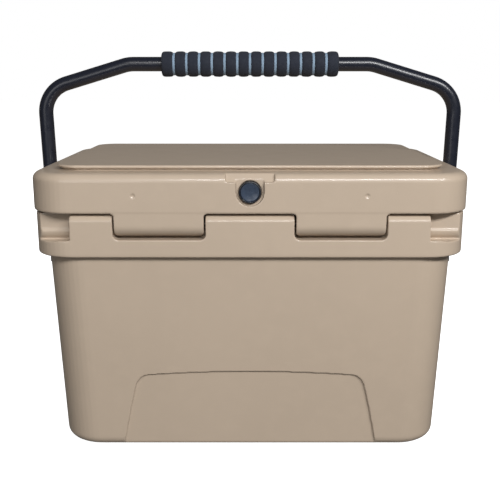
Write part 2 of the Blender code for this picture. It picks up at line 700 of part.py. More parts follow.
def lid_shell():
    shell = loft("lid_shell", lid_rings(0.0))
    tab_top = LID_BOTTOM_Z + 0.003
    tab = arc((PIN_Y, PIN_Z), KNUCKLE_R, 180, 360, 10)
    tab += [(PIN_Y + KNUCKLE_R, tab_top), (PIN_Y - KNUCKLE_R, tab_top)]
    for side, tag in SIDES:
        low, high = sorted((side * TAB_X[0], side * TAB_X[1]))
        boolean(shell, outline_solid("tab_" + tag, tab, "YZ", low, high, True), "UNION")
    boolean(shell, lid_foam_space("lid_foam_cavity", SKIN, True))
    reach = TAB_X[1] + 0.01
    boolean(shell, rod("tab_bore", "X", -reach, reach, (0, PIN_Y, PIN_Z), PIN_R + GAP, True, 16))
    boolean(shell, gasket_ring("gasket_groove", 0.0, LID_BOTTOM_Z + GROOVE_DEPTH, True))
    port_top = TONGUE_Z + SKIN + 0.002
    boolean(shell, rod("lid_port", "Z", TONGUE_Z - 0.01, port_top, (0, 0, 0), LID_PORT_R, True))
    cut_valve_seat(shell)
    half = LATCH_PIN_HALF + GAP
    for side, tag in SIDES:
        x = side * LATCH_X
        low = (x - LATCH_RECESS_HALF, LATCH_RECESS_Y, LID_BOTTOM_Z - 0.005)
        high = (x + LATCH_RECESS_HALF, OUTSIDE, LATCH_RECESS_TOP_Z)
        boolean(shell, box("latch_recess_" + tag, low, high, True))
        place = (0, LATCH_PIN_Y, LATCH_PIN_Z)
        hole = rod("latch_pin_hole_" + tag, "X", x - half, x + half, place, LATCH_PIN_R + GAP, True, 16)
        boolean(shell, hole)
    return finish(shell, TAN, 0.55)


def cut_valve_seat(shell):
    """U recess and top notch in the rear face, the valve's bore, and the vent down to the cavity."""
    outline = arc((0, VALVE_Z), VALVE_RECESS_R, 180, 360, 12)
    outline += [(VALVE_RECESS_R, 0.326), (-VALVE_RECESS_R, 0.326)]
    boolean(shell, outline_solid("valve_recess", outline, "XZ", -OUTSIDE, VALVE_FLOOR_Y, True))
    low = (-VALVE_NOTCH_HALF, -OUTSIDE, VALVE_NOTCH_Z)
    high = (VALVE_NOTCH_HALF, VALVE_NOTCH_Y, PLATEAU_Z + 0.01)
    boolean(shell, box("valve_notch", low, high, True))
    place = (0, 0, VALVE_Z)
    seat = VALVE_BACK_Y + GAP
    boolean(shell, rod("valve_bore", "Y", -0.16, seat, place, VALVE_BARREL_R + GAP, True))
    boolean(shell, rod("vent_across", "Y", seat - 0.001, VENT_END_Y, place, VENT_R, True, 16))
    down_r = VENT_R + 0.0005
    boolean(shell, rod("vent_down", "Z", TONGUE_Z - 0.01, VENT_TOP_Z, (0, VENT_END_Y, 0), down_r, True, 16))


def lid_inner_pieces():
    finish(lid_foam_space("lid_foam_core", SKIN + GAP, False), FOAM_CREAM, 0.9)
    low, high = TONGUE_Z + GAP, TONGUE_Z + SKIN - GAP
    finish(rod("lid_fill_plug", "Z", low, high, (0, 0, 0), LID_PORT_R - GAP), TAN, 0.6)
    seal = gasket_ring("lid_gasket", -GAP, LID_BOTTOM_Z + GROOVE_DEPTH - GAP, False)
    finish(seal, RUBBER_GREY, 0.8)


# ---------------------------------------------------------------- release valve
def valve():
    """Flanged barrel, face seal, spring and push button, turned about a line along Y."""
    centre = (0, 0, VALVE_Z)
    lip_r = VALVE_STEM_R + 0.001
    spring_r = 0.0065
    well_r = VALVE_CAP_R + 0.0004
    well_y = VALVE_RING_Y + 0.0047
    lip_y = VALVE_BACK_Y - 0.0015
    flange_y = -0.1526
    body = [
        (VALVE_RING_R, flange_y), (VALVE_RING_R, VALVE_RING_Y + 0.0004),
        (VALVE_RING_R - 0.0006, VALVE_RING_Y), (well_r, VALVE_RING_Y), (well_r, well_y),
        (spring_r, well_y), (spring_r, lip_y), (lip_r, lip_y),
        (lip_r, VALVE_BACK_Y), (VALVE_BARREL_R, VALVE_BACK_Y), (VALVE_BARREL_R, flange_y),
    ]
    finish(turned("valve_body", "Y", centre, body), BLACK, 0.45)
    seal_y = (flange_y + GAP, VALVE_FLOOR_Y - GAP)
    finish(washer("valve_seal", "Y", centre, VALVE_BARREL_R + GAP, 0.0115, *seal_y), RUBBER_GREY, 0.8)
    cap = rod("valve_button", "Y", *VALVE_CAP_Y, centre, VALVE_CAP_R, sides=32)
    stem = rod("valve_stem", "Y", VALVE_CAP_Y[0] + 0.0006, -0.1335, centre, VALVE_STEM_R, True, 16)
    finish(boolean(cap, stem, "UNION"), BLACK, 0.35)
    spring = finish(swept_tube("valve_spring", spring_points(), 0.0005, False, 1), STEEL, 0.3, 1.0)
    hang_on("valve_axis", centre, [cap])
    return spring


def spring_points():
    """Helix between the button's underside and the barrel's inner lip."""
    low, high, radius = -0.1563, -0.1323, 0.0046
    turns, per_turn = 5, 8
    points = []
    for step in range(turns * per_turn + 1):
        share = step / (turns * per_turn)
        angle = 2 * math.pi * turns * share
        y = low + (high - low) * share
        points.append((radius * math.cos(angle), y, VALVE_Z + radius * math.sin(angle)))
    return points


# ---------------------------------------------------------------- handle
def fillet(before, corner, after, radius, steps):
    """Arc that rounds the corner between two straight runs, in the XZ plane."""
    corner = Vector(corner)
    back = (Vector(before) - corner).normalized()
    ahead = (Vector(after) - corner).normalized()
    half = back.angle(ahead) / 2
    centre = corner + (back + ahead).normalized() * (radius / math.sin(half))
    first = corner + back * (radius / math.tan(half)) - centre
    last = corner + ahead * (radius / math.tan(half)) - centre
    start = math.atan2(first.y, first.x)
    turn = (math.atan2(last.y, last.x) - start + math.pi) % (2 * math.pi) - math.pi
    return [
        (centre.x + radius * math.cos(start + turn * step / steps),
         centre.y + radius * math.sin(start + turn * step / steps))
        for step in range(steps + 1)
    ]


def leg_x(z):
    """Tube centre of the slightly splayed right leg at height z."""
    return LEG_FOOT_X + (LEG_TOP[0] - LEG_FOOT_X) * (z - PIVOT_Z) / (LEG_TOP[1] - PIVOT_Z)


def handle_path(end_z):
    """Centreline of the bail from the left leg's end to the right leg's end."""
    foot = (leg_x(end_z), end_z)
    right = [foot] + fillet(foot, LEG_TOP, SLOPE_TOP, LOWER_BEND_R, 8)
    right += fillet(LEG_TOP, SLOPE_TOP, (0.0, SLOPE_TOP[1]), UPPER_BEND_R, 4)
    left = [(-x, 0.0, z) for x, z in right]
    return left + [(x, 0.0, z) for x, z in reversed(right)]


def rivet_hole(name, place):
    reach = RIVET_HEAD_Y + 0.002
    return rod(name, "Y", -reach, reach, place, RIVET_R + GAP, True, 12)


def handle_tube():
    tube = swept_tube("handle_tube", handle_path(TUBE_END_Z), TUBE_R)
    for side, tag in SIDES:
        place = (side * leg_x(RIVET_Z), 0, RIVET_Z)
        boolean(tube, rivet_hole("tube_rivet_hole_" + tag, place))
    boolean(tube, swept_tube("tube_bore", handle_path(TUBE_END_Z - 0.002), TUBE_BORE_R, True))
    return finish(tube, BLACK, 0.3, 0.3)


def handle_grip():
    """Foam sleeve with evenly spaced grooves between its swelling segments."""
    swell_r = GRIP_R - 0.0004
    end = GRIP_HALF - GRIP_END_ROUND
    outer = [(GRIP_END_R, GRIP_HALF), (swell_r, end)]
    for index in reversed(range(GRIP_GROOVES)):
        x = (index - (GRIP_GROOVES - 1) / 2) * GROOVE_PITCH
        outer += [(swell_r, x + GRIP_GROOVE_HALF), (GRIP_GROOVE_R, x), (swell_r, x - GRIP_GROOVE_HALF)]
    outer += [(swell_r, -end), (GRIP_END_R, -GRIP_HALF)]
    bore = TUBE_R + GAP
    profile = outer + [(bore, -GRIP_HALF), (bore, GRIP_HALF)]
    return finish(turned("handle_grip", "X", (0, 0, SLOPE_TOP[1]), profile, 14), BLACK, 0.85)


def handle_fitting(side, tag):
    """End eye: a plate around the pivot, a collar, and a plug inside the tube."""
    eye_low, eye_high = sorted((side * EYE_X[0], side * EYE_X[1]))
    neck = TUBE_R - 0.00025
    collar_top = TUBE_END_Z - GAP
    outline = arc((0, PIVOT_Z), EYE_R, 180, 360, 12)
    outline += [(neck, EYE_NECK_Z), (neck, collar_top), (-neck, collar_top), (-neck, EYE_NECK_Z)]
    fitting = outline_solid("handle_fitting_" + tag, outline, "YZ", eye_low, eye_high)
    place = (side * leg_x(EYE_NECK_Z), 0, 0)
    collar = rod("collar_" + tag, "Z", COLLAR_FOOT_Z, collar_top, place, TUBE_R, True, 24)
    boolean(fitting, collar, "UNION")
    place = (side * leg_x(RIVET_Z), 0, 0)
    boolean(fitting, rod("plug_" + tag, "Z", *PLUG_Z, place, TUBE_BORE_R - 0.0007, True, 24), "UNION")
    low, high = eye_low - 0.01, eye_high + 0.01
    boolean(fitting, rod("eye_bore_" + tag, "X", low, high, (0, 0, PIVOT_Z), BUSH_R + GAP, True, 24))
    place = (side * leg_x(RIVET_Z), 0, RIVET_Z)
    boolean(fitting, rivet_hole("plug_rivet_hole_" + tag, place))
    finish(fitting, BLACK, 0.5)
    reach = RIVET_HEAD_Y - 0.0004
    rivet = rod("handle_rivet_" + tag, "Y", -reach, reach, place, RIVET_R, sides=12)
    for end, mark in ((-1, "_a"), (1, "_b")):
        start, stop = sorted((end * (TUBE_R + GAP), end * RIVET_HEAD_Y))
        head = rod("rivet_head_" + tag + mark, "Y", start, stop, place, RIVET_HEAD_R, True, 12)
        boolean(rivet, head, "UNION")
    finish(rivet, STEEL, 0.3, 1.0)
    return [fitting, rivet]


def pivot(side, tag):
    """Bush in the eye, bolt through it, washer against the boss and threaded insert in the boss."""
    centre = (0, 0, PIVOT_Z)

    def along(start, end):
        return sorted((side * start, side * end))

    bore_r = PIVOT_BOLT_R + GAP
    insert = washer("pivot_insert_" + tag, "X", centre, bore_r, INSERT_R, *along(*INSERT_X))
    finish(insert, BRASS, 0.35, 1.0)
    washer_x = along(BOSS_FACE_X + GAP, EYE_X[0] - GAP)
    plate = washer("pivot_washer_" + tag, "X", centre, bore_r, EYE_R + 0.001, *washer_x)
    finish(plate, NYLON, 0.5)
    bush_x = along(EYE_X[0] + 0.0002, EYE_X[1] - 0.0002)
    bush = washer("pivot_bush_" + tag, "X", centre, bore_r, BUSH_R, *bush_x)
    finish(bush, NYLON, 0.5)
    head_in, head_out = EYE_X[1] + GAP, EYE_X[1] + 0.0048
    low, high = along(INSERT_X[0] + 0.002, head_in + 0.0013)
    bolt = rod("pivot_bolt_" + tag, "X", low, high, centre, PIVOT_BOLT_R, sides=16)
    foot_r, tip_r = 0.0085, 0.0065
    low_r, high_r = (foot_r, tip_r) if side > 0 else (tip_r, foot_r)
    head = rod("bolt_head_" + tag, "X", *along(head_in, head_out), centre, low_r, True, 24, high_r)
    boolean(bolt, head, "UNION")
    socket = rod("bolt_socket_" + tag, "X", *along(head_out - 0.0026, OUTSIDE), centre, 0.0024, True, 6)
    boolean(bolt, socket)
    finish(bolt, STEEL, 0.35, 1.0)
    return bush


# ---------------------------------------------------------------- assembly
def build():
    body_shell()
    body_inner_pieces()
    feet()
    hinge_pieces()
    lid_shell()
    lid_inner_pieces()
    valve()
    latch_pins = []
    bushes = []
    handle_pieces = [handle_tube(), handle_grip()]
    for side, tag in SIDES:
        keeper(side, tag)
        latch_pins.append(latch(side, tag))
        handle_pieces += handle_fitting(side, tag)
        bushes.append(pivot(side, tag))
    lid_names = (
        "lid_shell", "lid_foam_core", "lid_fill_plug", "lid_gasket",
        "valve_body", "valve_seal", "valve_spring", "valve_axis",
        "latch_axis_left", "latch_axis_right",
    )
    lid_pieces = [bpy.data.objects[name] for name in lid_names] + latch_pins
    hang_on("lid_axis", (0, PIN_Y, PIN_Z), lid_pieces)
    hang_on("carrier_axis", (0, 0, PIVOT_Z), bushes)
    hang_on("handle_axis", (0, 0, PIVOT_Z), handle_pieces)


build()
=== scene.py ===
"""Looks of the cooler chest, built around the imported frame. Metres, +Z up, hinge side at -Y."""
import math

import bmesh
import bpy
from mathutils import Matrix, Vector, noise


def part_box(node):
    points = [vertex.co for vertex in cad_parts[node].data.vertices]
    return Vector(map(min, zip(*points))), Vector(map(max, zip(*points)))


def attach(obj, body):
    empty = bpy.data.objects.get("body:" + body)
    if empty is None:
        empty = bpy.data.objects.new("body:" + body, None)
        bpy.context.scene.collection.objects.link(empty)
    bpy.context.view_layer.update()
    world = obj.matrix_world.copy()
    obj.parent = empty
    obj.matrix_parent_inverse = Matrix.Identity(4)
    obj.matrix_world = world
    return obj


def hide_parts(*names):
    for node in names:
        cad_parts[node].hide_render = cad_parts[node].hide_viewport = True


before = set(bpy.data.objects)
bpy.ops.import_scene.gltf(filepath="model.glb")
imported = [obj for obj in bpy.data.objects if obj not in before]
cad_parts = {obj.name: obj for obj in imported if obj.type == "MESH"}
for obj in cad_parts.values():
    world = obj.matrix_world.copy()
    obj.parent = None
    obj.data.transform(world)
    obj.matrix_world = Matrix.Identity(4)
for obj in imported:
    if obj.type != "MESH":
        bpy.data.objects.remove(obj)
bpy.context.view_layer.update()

# ---------------------------------------------------------------- dimensions
SIDES = ((-1, "left"), (1, "right"))
VOXEL = 0.0010                   # grain of the skins fused from cut solids
ARC_STEPS = 12                   # facets in a quarter turn

RIM_HALF = tuple(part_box("body_shell")[1][:2])
RIM_TOP_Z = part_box("body_shell")[1].z
UNDERSIDE_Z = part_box("body_shell")[0].z
LID_HALF = tuple(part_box("lid_shell")[1][:2])
PLATEAU_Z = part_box("lid_shell")[1].z
LID_BOTTOM_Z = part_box("lid_gasket")[0].z
PIN_LOW, PIN_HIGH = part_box("hinge_pin")
PIN_Y = (PIN_LOW.y + PIN_HIGH.y) / 2
PIN_Z = (PIN_LOW.z + PIN_HIGH.z) / 2
PIVOT_LOW, PIVOT_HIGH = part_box("pivot_bolt_right")
PIVOT_Z = (PIVOT_LOW.z + PIVOT_HIGH.z) / 2

CORNER = 0.045                   # plan corner of body, rim and lid
BASE_HALF = (0.225, 0.138)
NECK_HALF = (0.2315, 0.1490)
BOTTOM_ROUND = 0.012
RIM_BOTTOM_Z = 0.2376
RIM_EDGE = 0.0020
TOP_EDGE = 0.0018
RIM_DROP = 0.0010                # the seam's shadow gap is opened by these two
SEAM_LIFT = 0.0004
RELAX_PASSES = 2
KEEP_FACES = 0.095               # share of faces kept after fusing
LID_KEEP_FACES = 0.18
MOUTH_HALF = (0.190, 0.107)
FLOOR_HALF = (0.184, 0.101)
FLOOR_Z = 0.045
MOUTH_ROUND = 0.003
FLOOR_ROUND = 0.015
CAVITY_CORNER = 0.032

LID_TOP_Z = 0.331
LID_ROUND = 0.009
LID_SLOPE = 0.0008               # fall of the top from the plateau out to the rounding
PLATEAU_HALF = (0.214, 0.133)
PLATEAU_CORNER = 0.026
PLATEAU_EDGE = 0.0018
LIP_REACH = 0.0029               # the plateau's edge stands out as a lip over a wall set in
LIP_WALL = 0.0018
LIP_DEPTH = 0.0034
TONGUE_HALF = (0.184, 0.101)
TONGUE_Z = 0.2743
SEAL_HALF = (0.2005, 0.1175)     # middle line of the gasket and its groove
SEAL_CORNER = 0.039
SEAL_GROOVE = 0.0040             # half the groove's width

KNUCKLE_R = 0.0127
TAB_X = (0.0504, 0.1483)
TAB_CORNER = 0.0052
POCKET_X = (0.0486, 0.1502)
POCKET_R = 0.0160
POCKET_CORNER = 0.0062
OUTSIDE_Y = -0.18                # cutters on the hinge side run between these two
INSIDE_Y = -0.12
BEHIND_Y = -0.175
LUG_R = 0.0124
LUG_SHOULDER = 0.0028            # rounding where a lug's top meets its end
LUG_END_X = 0.197
LEDGE_Z = 0.2575
LEDGE_LIP_Y = -0.1586
LEDGE_FLOOR_Y = -0.150
LEDGE_DIP = 0.0030               # the ledge falls away behind its lip
NOTCH_Y = -0.1418
UNDERCUT_R = 0.011
NOTCH_STEP = 0.0016              # the wall above the undercut stands back by this

ARCH_TOP_Z = 0.098
ARCH_DEPTH = 0.003

VALVE_Z = 0.3104
VALVE_FLOOR_Y = -0.151
VALVE_RECESS_R = 0.0152
VALVE_NOTCH_HALF = 0.0267
VALVE_NOTCH_Z = 0.321
VALVE_NOTCH_RAMP = ((-0.1572, 0.3205), (-0.1488, 0.3315))    # foot and head of its leaning floor, in Y and Z
VALVE_LAND_Y = -0.1542           # shallow land around the valve's ring
SINK_MARK = (0.1265, 0.3066)     # small moulding dimples either side of the valve

LATCH_X = 0.120
LATCH_PIN = (0.151, 0.3135)
LATCH_RECESS_HALF = 0.024
LATCH_RECESS_TOP_Z = 0.324
LATCH_RECESS_Y = 0.1425
KEEPER_BACK_Y = 0.147
FOOT_XY = (0.165, 0.100)

BOSS_R = 0.020
BOSS_FACE_X = 0.2395
TUBE_R = 0.00875
LEG_FOOT_X = 0.2525
LEG_TOP = (0.2567, 0.415)
SLOPE_TOP = (0.1506, 0.4467)
LOWER_BEND_R = 0.0385
UPPER_BEND_R = 0.045
TUBE_END_Z = 0.2033
RIVET_Z = 0.214
GRIP_R = 0.0155
GRIP_HALF = 0.109
GRIP_SEGMENTS = 14
GRIP_PITCH = 0.0156
GRIP_GROOVE_R = 0.0133
GRIP_GROOVE_HALF = 0.00135

CAMERA_PLACE = (0.0, -0.9577, 0.4335)
CAMERA_TILT = 76.87              # degrees up from straight down
CAMERA_LENS = 54.0               # mm, on a sensor 36 mm wide

TAN = (0.505, 0.408, 0.315)      # base colours, linear
BLACK_PAINT = (0.007, 0.009, 0.017)
BLACK_PLASTIC = (0.012, 0.014, 0.020)
BUTTON_BLUE = (0.036, 0.050, 0.078)
FOAM_NAVY = (0.006, 0.008, 0.014)
GROOVE_BLUE = (0.235, 0.330, 0.440)
RUBBER = (0.022, 0.022, 0.024)
STEEL = (0.56, 0.56, 0.57)
PIN_STEEL = (0.050, 0.048, 0.045)
BRASS = (0.62, 0.46, 0.20)
NYLON = (0.70, 0.69, 0.64)
CREAM_FOAM = (0.78, 0.70, 0.50)


# ---------------------------------------------------------------- materials
class Shader:
    """A Principled material with helpers that add one kind of procedural detail each."""

    def __init__(self, name, colour, roughness, metallic=0.0):
        self.material = bpy.data.materials.new(name)
        self.material.use_nodes = True
        self.tree = self.material.node_tree
        self.principled = self.tree.nodes["Principled BSDF"]
        self.principled.inputs["Metallic"].default_value = metallic
        self.principled.inputs["Roughness"].default_value = roughness
        self.principled.inputs["Base Color"].default_value = (*colour, 1.0)
        self.colour = colour
        self.roughness = roughness
        self.place = self.tree.nodes.new("ShaderNodeTexCoord").outputs["Object"]
        self.normal = None

    def link(self, source, target):
        self.tree.links.new(source, target)

    def noise(self, scale, detail=2.0, stretch=(1.0, 1.0, 1.0), rough=0.5):
        mapping = self.tree.nodes.new("ShaderNodeMapping")
        mapping.inputs["Scale"].default_value = stretch
        self.link(self.place, mapping.inputs["Vector"])
        texture = self.tree.nodes.new("ShaderNodeTexNoise")
        texture.inputs["Scale"].default_value = scale
        texture.inputs["Detail"].default_value = detail
        texture.inputs["Roughness"].default_value = rough
        self.link(mapping.outputs["Vector"], texture.inputs["Vector"])
        return texture.outputs["Fac"]

    def cells(self, scale, feature="F1"):
        texture = self.tree.nodes.new("ShaderNodeTexVoronoi")
        texture.feature = feature
        texture.inputs["Scale"].default_value = scale
        self.link(self.place, texture.inputs["Vector"])
        return texture.outputs["Distance"]

    def spread(self, value, low, high, to_low, to_high):
        ranged = self.tree.nodes.new("ShaderNodeMapRange")
        limits = {"From Min": low, "From Max": high, "To Min": to_low, "To Max": to_high}
        for socket, number in limits.items():
            ranged.inputs[socket].default_value = number
        self.link(value, ranged.inputs["Value"])
        return ranged.outputs["Result"]

    def tint(self, factor, colour):
        """Mix the base colour towards another colour by a factor."""
        mix = self.tree.nodes.new("ShaderNodeMix")
        mix.data_type = "RGBA"
        target = self.principled.inputs["Base Color"]
        if target.is_linked:
            self.link(target.links[0].from_socket, mix.inputs["A"])
        else:
            mix.inputs["A"].default_value = (*self.colour, 1.0)
        mix.inputs["B"].default_value = (*colour, 1.0)
        self.link(factor, mix.inputs["Factor"])
        self.link(mix.outputs["Result"], target)
        return self

    def vary_roughness(self, value, amount):
        low, high = self.roughness - amount, self.roughness + amount
        self.link(self.spread(value, 0.3, 0.7, low, high), self.principled.inputs["Roughness"])
        return self

    def bump(self, value, strength, distance):
        node = self.tree.nodes.new("ShaderNodeBump")
        node.inputs["Strength"].default_value = strength
        node.inputs["Distance"].default_value = distance
        self.link(value, node.inputs["Height"])
        if self.normal:
            self.link(self.normal, node.inputs["Normal"])
        self.normal = node.outputs["Normal"]
        self.link(self.normal, self.principled.inputs["Normal"])
        return self

    def set(self, socket, number):
        self.principled.inputs[socket].default_value = number
        return self


def shade(colour, factor):
    return tuple(channel * factor for channel in colour)


def moulded_tan():
    """Rotomoulded polyethylene: soft mottling, powder specks and a faint orange peel."""
    look = Shader("moulded_tan", TAN, 0.42)
    look.tint(look.spread(look.noise(7.0, 3.0), 0.35, 0.7, 0.0, 0.8), shade(TAN, 0.955))
    look.tint(look.spread(look.noise(60.0, 3.0), 0.45, 0.75, 0.0, 0.5), shade(TAN, 1.035))
    look.tint(look.spread(look.cells(650.0), 0.0, 0.16, 0.16, 0.0), shade(TAN, 0.62))
    look.vary_roughness(look.noise(38.0, 4.0), 0.035)
    look.bump(look.noise(16.0, 2.0), 0.10, 0.0012)
    look.bump(look.noise(520.0, 2.0), 0.10, 0.00025)
    look.bump(look.noise(1900.0, 2.0), 0.08, 0.00010)
    look.set("Specular IOR Level", 0.40).set("Coat Weight", 0.45).set("Coat Roughness", 0.13)
    return look.material


def satin_black():
    """Powder coat on the bail: fine pebble and a cool satin sheen."""
    look = Shader("satin_black_coat", BLACK_PAINT, 0.31)
    look.tint(look.spread(look.noise(900.0, 2.0), 0.4, 0.75, 0.0, 0.6), shade(BLACK_PAINT, 1.8))
    look.vary_roughness(look.noise(140.0, 3.0), 0.05)
    look.bump(look.noise(1500.0, 3.0), 0.22, 0.00018)
    look.set("Coat Weight", 0.25).set("Coat Roughness", 0.22)
    return look.material


def black_plastic(name, roughness, colour=BLACK_PLASTIC):
    look = Shader(name, colour, roughness)
    look.tint(look.spread(look.noise(260.0, 3.0), 0.4, 0.8, 0.0, 0.6), shade(colour, 1.6))
    look.vary_roughness(look.noise(210.0, 3.0), 0.06)
    look.bump(look.noise(2100.0, 2.0), 0.16, 0.00012)
    return look.material


def foam_sleeve():
    """Closed-cell foam: open pores at the surface, their pits kept darker as painted shade, over a soft nap.
    """
    look = Shader("navy_foam", FOAM_NAVY, 0.88)
    # painted shade: the pore pits that the cell bump below sinks stay dark, and the cell walls between them
    # are lightened
    look.tint(look.spread(look.cells(1500.0), 0.05, 0.5, 0.0, 0.9), shade(FOAM_NAVY, 2.4))
    look.tint(look.spread(look.noise(90.0, 3.0), 0.4, 0.75, 0.0, 0.5), shade(FOAM_NAVY, 1.7))
    look.vary_roughness(look.noise(300.0, 2.0), 0.06)
    look.bump(look.cells(1500.0), 0.55, 0.00035)
    look.bump(look.noise(420.0, 3.0), 0.30, 0.0004)
    look.set("Sheen Weight", 0.04).set("Sheen Roughness", 0.5)
    return look.material


def groove_foam():
    look = Shader("blue_grey_groove", GROOVE_BLUE, 0.8)
    look.tint(look.spread(look.noise(1300.0, 2.0), 0.4, 0.7, 0.0, 0.7), shade(GROOVE_BLUE, 0.72))
    look.vary_roughness(look.noise(500.0, 2.0), 0.05)
    look.bump(look.cells(1700.0), 0.4, 0.0003)
    return look.material


def rubber():
    """Matt rubber with a dusty bloom and a fine grain."""
    look = Shader("black_rubber", RUBBER, 0.66)
    look.tint(look.spread(look.noise(45.0, 4.0), 0.45, 0.8, 0.0, 0.6), shade(RUBBER, 2.3))
    look.vary_roughness(look.noise(120.0, 3.0), 0.07)
    look.bump(look.noise(1400.0, 3.0), 0.28, 0.0002)
    return look.material


def steel(name, colour, roughness):
    """Steel with a lengthwise brushed grain."""
    look = Shader(name, colour, roughness, 1.0)
    grain = look.noise(700.0, 3.0, (0.06, 1.0, 1.0))
    look.tint(look.spread(grain, 0.4, 0.7, 0.0, 0.5), shade(colour, 0.80))
    look.vary_roughness(grain, 0.08)
    look.bump(grain, 0.12, 0.00008)
    return look.material


def brass():
    look = Shader("insert_brass", BRASS, 0.32, 1.0)
    look.tint(look.spread(look.noise(180.0, 3.0), 0.4, 0.75, 0.0, 0.6), shade(BRASS, 0.7))
    look.vary_roughness(look.noise(350.0, 3.0), 0.08)
    look.bump(look.noise(1600.0, 2.0), 0.12, 0.0001)
    return look.material


def nylon():
    look = Shader("bearing_nylon", NYLON, 0.45)
    look.tint(look.spread(look.noise(120.0, 3.0), 0.4, 0.75, 0.0, 0.5), shade(NYLON, 0.86))
    look.vary_roughness(look.noise(250.0, 2.0), 0.05)
    look.bump(look.noise(1500.0, 2.0), 0.12, 0.0001)
    return look.set("Subsurface Weight", 0.08).material


def cream_foam():
    look = Shader("insulation_foam", CREAM_FOAM, 0.9)
    look.tint(look.spread(look.noise(55.0, 3.0), 0.4, 0.75, 0.0, 0.6), shade(CREAM_FOAM, 0.8))
    look.vary_roughness(look.noise(300.0, 2.0), 0.05)
    look.bump(look.cells(900.0), 0.5, 0.0006)
    return look.material


MOULDED_TAN = moulded_tan()
SATIN_BLACK = satin_black()
RING_PLASTIC = black_plastic("ring_plastic", 0.30)
BUTTON_PLASTIC = black_plastic("button_plastic", 0.25, BUTTON_BLUE)
EYE_PLASTIC = black_plastic("eye_plastic", 0.42)
FOAM_SLEEVE = foam_sleeve()
GROOVE_FOAM = groove_foam()
BLACK_RUBBER = rubber()
BRUSHED_STEEL = steel("brushed_steel", STEEL, 0.30)
DARK_STEEL = steel("oiled_pin_steel", PIN_STEEL, 0.45)
INSERT_BRASS = brass()
BEARING_NYLON = nylon()
INSULATION = cream_foam()


# ---------------------------------------------------------------- mesh helpers
def link_mesh(name, bm):
    bmesh.ops.recalc_face_normals(bm, faces=bm.faces)
    mesh = bpy.data.meshes.new(name)
    bm.to_mesh(mesh)
    bm.free()
    obj = bpy.data.objects.new(name, mesh)
    bpy.context.scene.collection.objects.link(obj)
    return obj


def arc(centre, radius, start, end, steps=ARC_STEPS):
    """Points on an arc in degrees, both ends included."""
    angles = [math.radians(start + (end - start) * step / steps) for step in range(steps + 1)]
    return [(centre[0] + radius * math.cos(a), centre[1] + radius * math.sin(a)) for a in angles]


def soften(corners, steps=6):
    """Outline through (u, v, radius) corners, each rounded by an arc of its own radius."""
    outline = []
    for index, (u, v, radius) in enumerate(corners):
        here = Vector((u, v))
        if not radius:
            outline.append((u, v))
            continue
        back = (Vector(corners[index - 1][:2]) - here).normalized()
        ahead = (Vector(corners[(index + 1) % len(corners)][:2]) - here).normalized()
        half = back.angle(ahead) / 2
        centre = here + (back + ahead).normalized() * (radius / math.sin(half))
        first = here + back * (radius / math.tan(half)) - centre
        last = here + ahead * (radius / math.tan(half)) - centre
        start = math.atan2(first.y, first.x)
        turn = (math.atan2(last.y, last.x) - start + math.pi) % (2 * math.pi) - math.pi
        outline += arc(centre, radius, math.degrees(start), math.degrees(start + turn), steps)
    return outline


def grown(half, amount):
    """Half sizes of a plan rectangle moved outwards by an amount."""
    return (half[0] + amount, half[1] + amount)


def rounded_ring(half, corner, z, steps=ARC_STEPS):
    """Points of a rounded rectangle at height z, anticlockwise from the +X side."""
    points = []
    for quarter, (sx, sy) in enumerate(((1, 1), (-1, 1), (-1, -1), (1, -1))):
        centre = (sx * (half[0] - corner), sy * (half[1] - corner))
        points += [(x, y, z) for x, y in arc(centre, corner, 90 * quarter, 90 * (quarter + 1), steps)]
    return points


def loft(name, rings, closed=False):
    """Skin a stack of rings; capped at both ends, or joined last to first when closed."""
    bm = bmesh.new()
    loops = [[bm.verts.new(point) for point in ring] for ring in rings]
    pairs = list(zip(loops[:-1], loops[1:]))
    if closed:
        pairs.append((loops[-1], loops[0]))
    else:
        bm.faces.new(loops[0][::-1])
        bm.faces.new(loops[-1])
    for low, high in pairs:
        for i in range(len(low)):
            j = (i + 1) % len(low)
            bm.faces.new((low[i], low[j], high[j], high[i]))
    return link_mesh(name, bm)


def prism(name, outline, plane, low, high):
    """Closed solid of an outline in the YZ plane along X, or in the XZ plane along Y."""
    place = (lambda u, v, w: (w, u, v)) if plane == "YZ" else (lambda u, v, w: (u, w, v))
    return loft(name, [[place(u, v, w) for u, v in outline] for w in (low, high)])


def axis_matrix(axis, point):
    """Turn local +Z to the named world axis and move it to the point."""
    turns = {
        "X": Matrix.Rotation(math.radians(90), 4, "Y"),
        "Y": Matrix.Rotation(math.radians(-90), 4, "X"),
        "Z": Matrix.Identity(4),
    }
    return Matrix.Translation(Vector(point)) @ turns[axis]


def turned(name, axis, centre, profile, facets=72, closed=True):
    """Revolve (radius, along) points about an axis; an open section starts and ends on the axis."""
    bm = bmesh.new()
    loops = []
    for radius, along in profile:
        angles = [2 * math.pi * step / facets for step in range(facets)]
        loops.append([bm.verts.new((radius * math.cos(a), radius * math.sin(a), along)) for a in angles])
    pairs = list(zip(loops[:-1], loops[1:]))
    if closed:
        pairs.append((loops[-1], loops[0]))
    for low, high in pairs:
        for i in range(facets):
            j = (i + 1) % facets
            bm.faces.new((low[i], low[j], high[j], high[i]))
    bmesh.ops.remove_doubles(bm, verts=bm.verts, dist=1e-7)
    bmesh.ops.transform(bm, matrix=axis_matrix(axis, centre), verts=bm.verts)
    return link_mesh(name, bm)


def rod(name, axis, start, end, centre, radius, round_by=0.0, facets=48):
    """Cylinder between two coordinates of its axis, with rounded rims."""
    point = list(centre)
    point["XYZ".index(axis)] = 0.0
    corners = [(0, start, 0), (radius, start, round_by), (radius, end, round_by), (0, end, 0)]
    profile = soften(corners, 4)
    return turned(name, axis, point, profile, facets, closed=False)


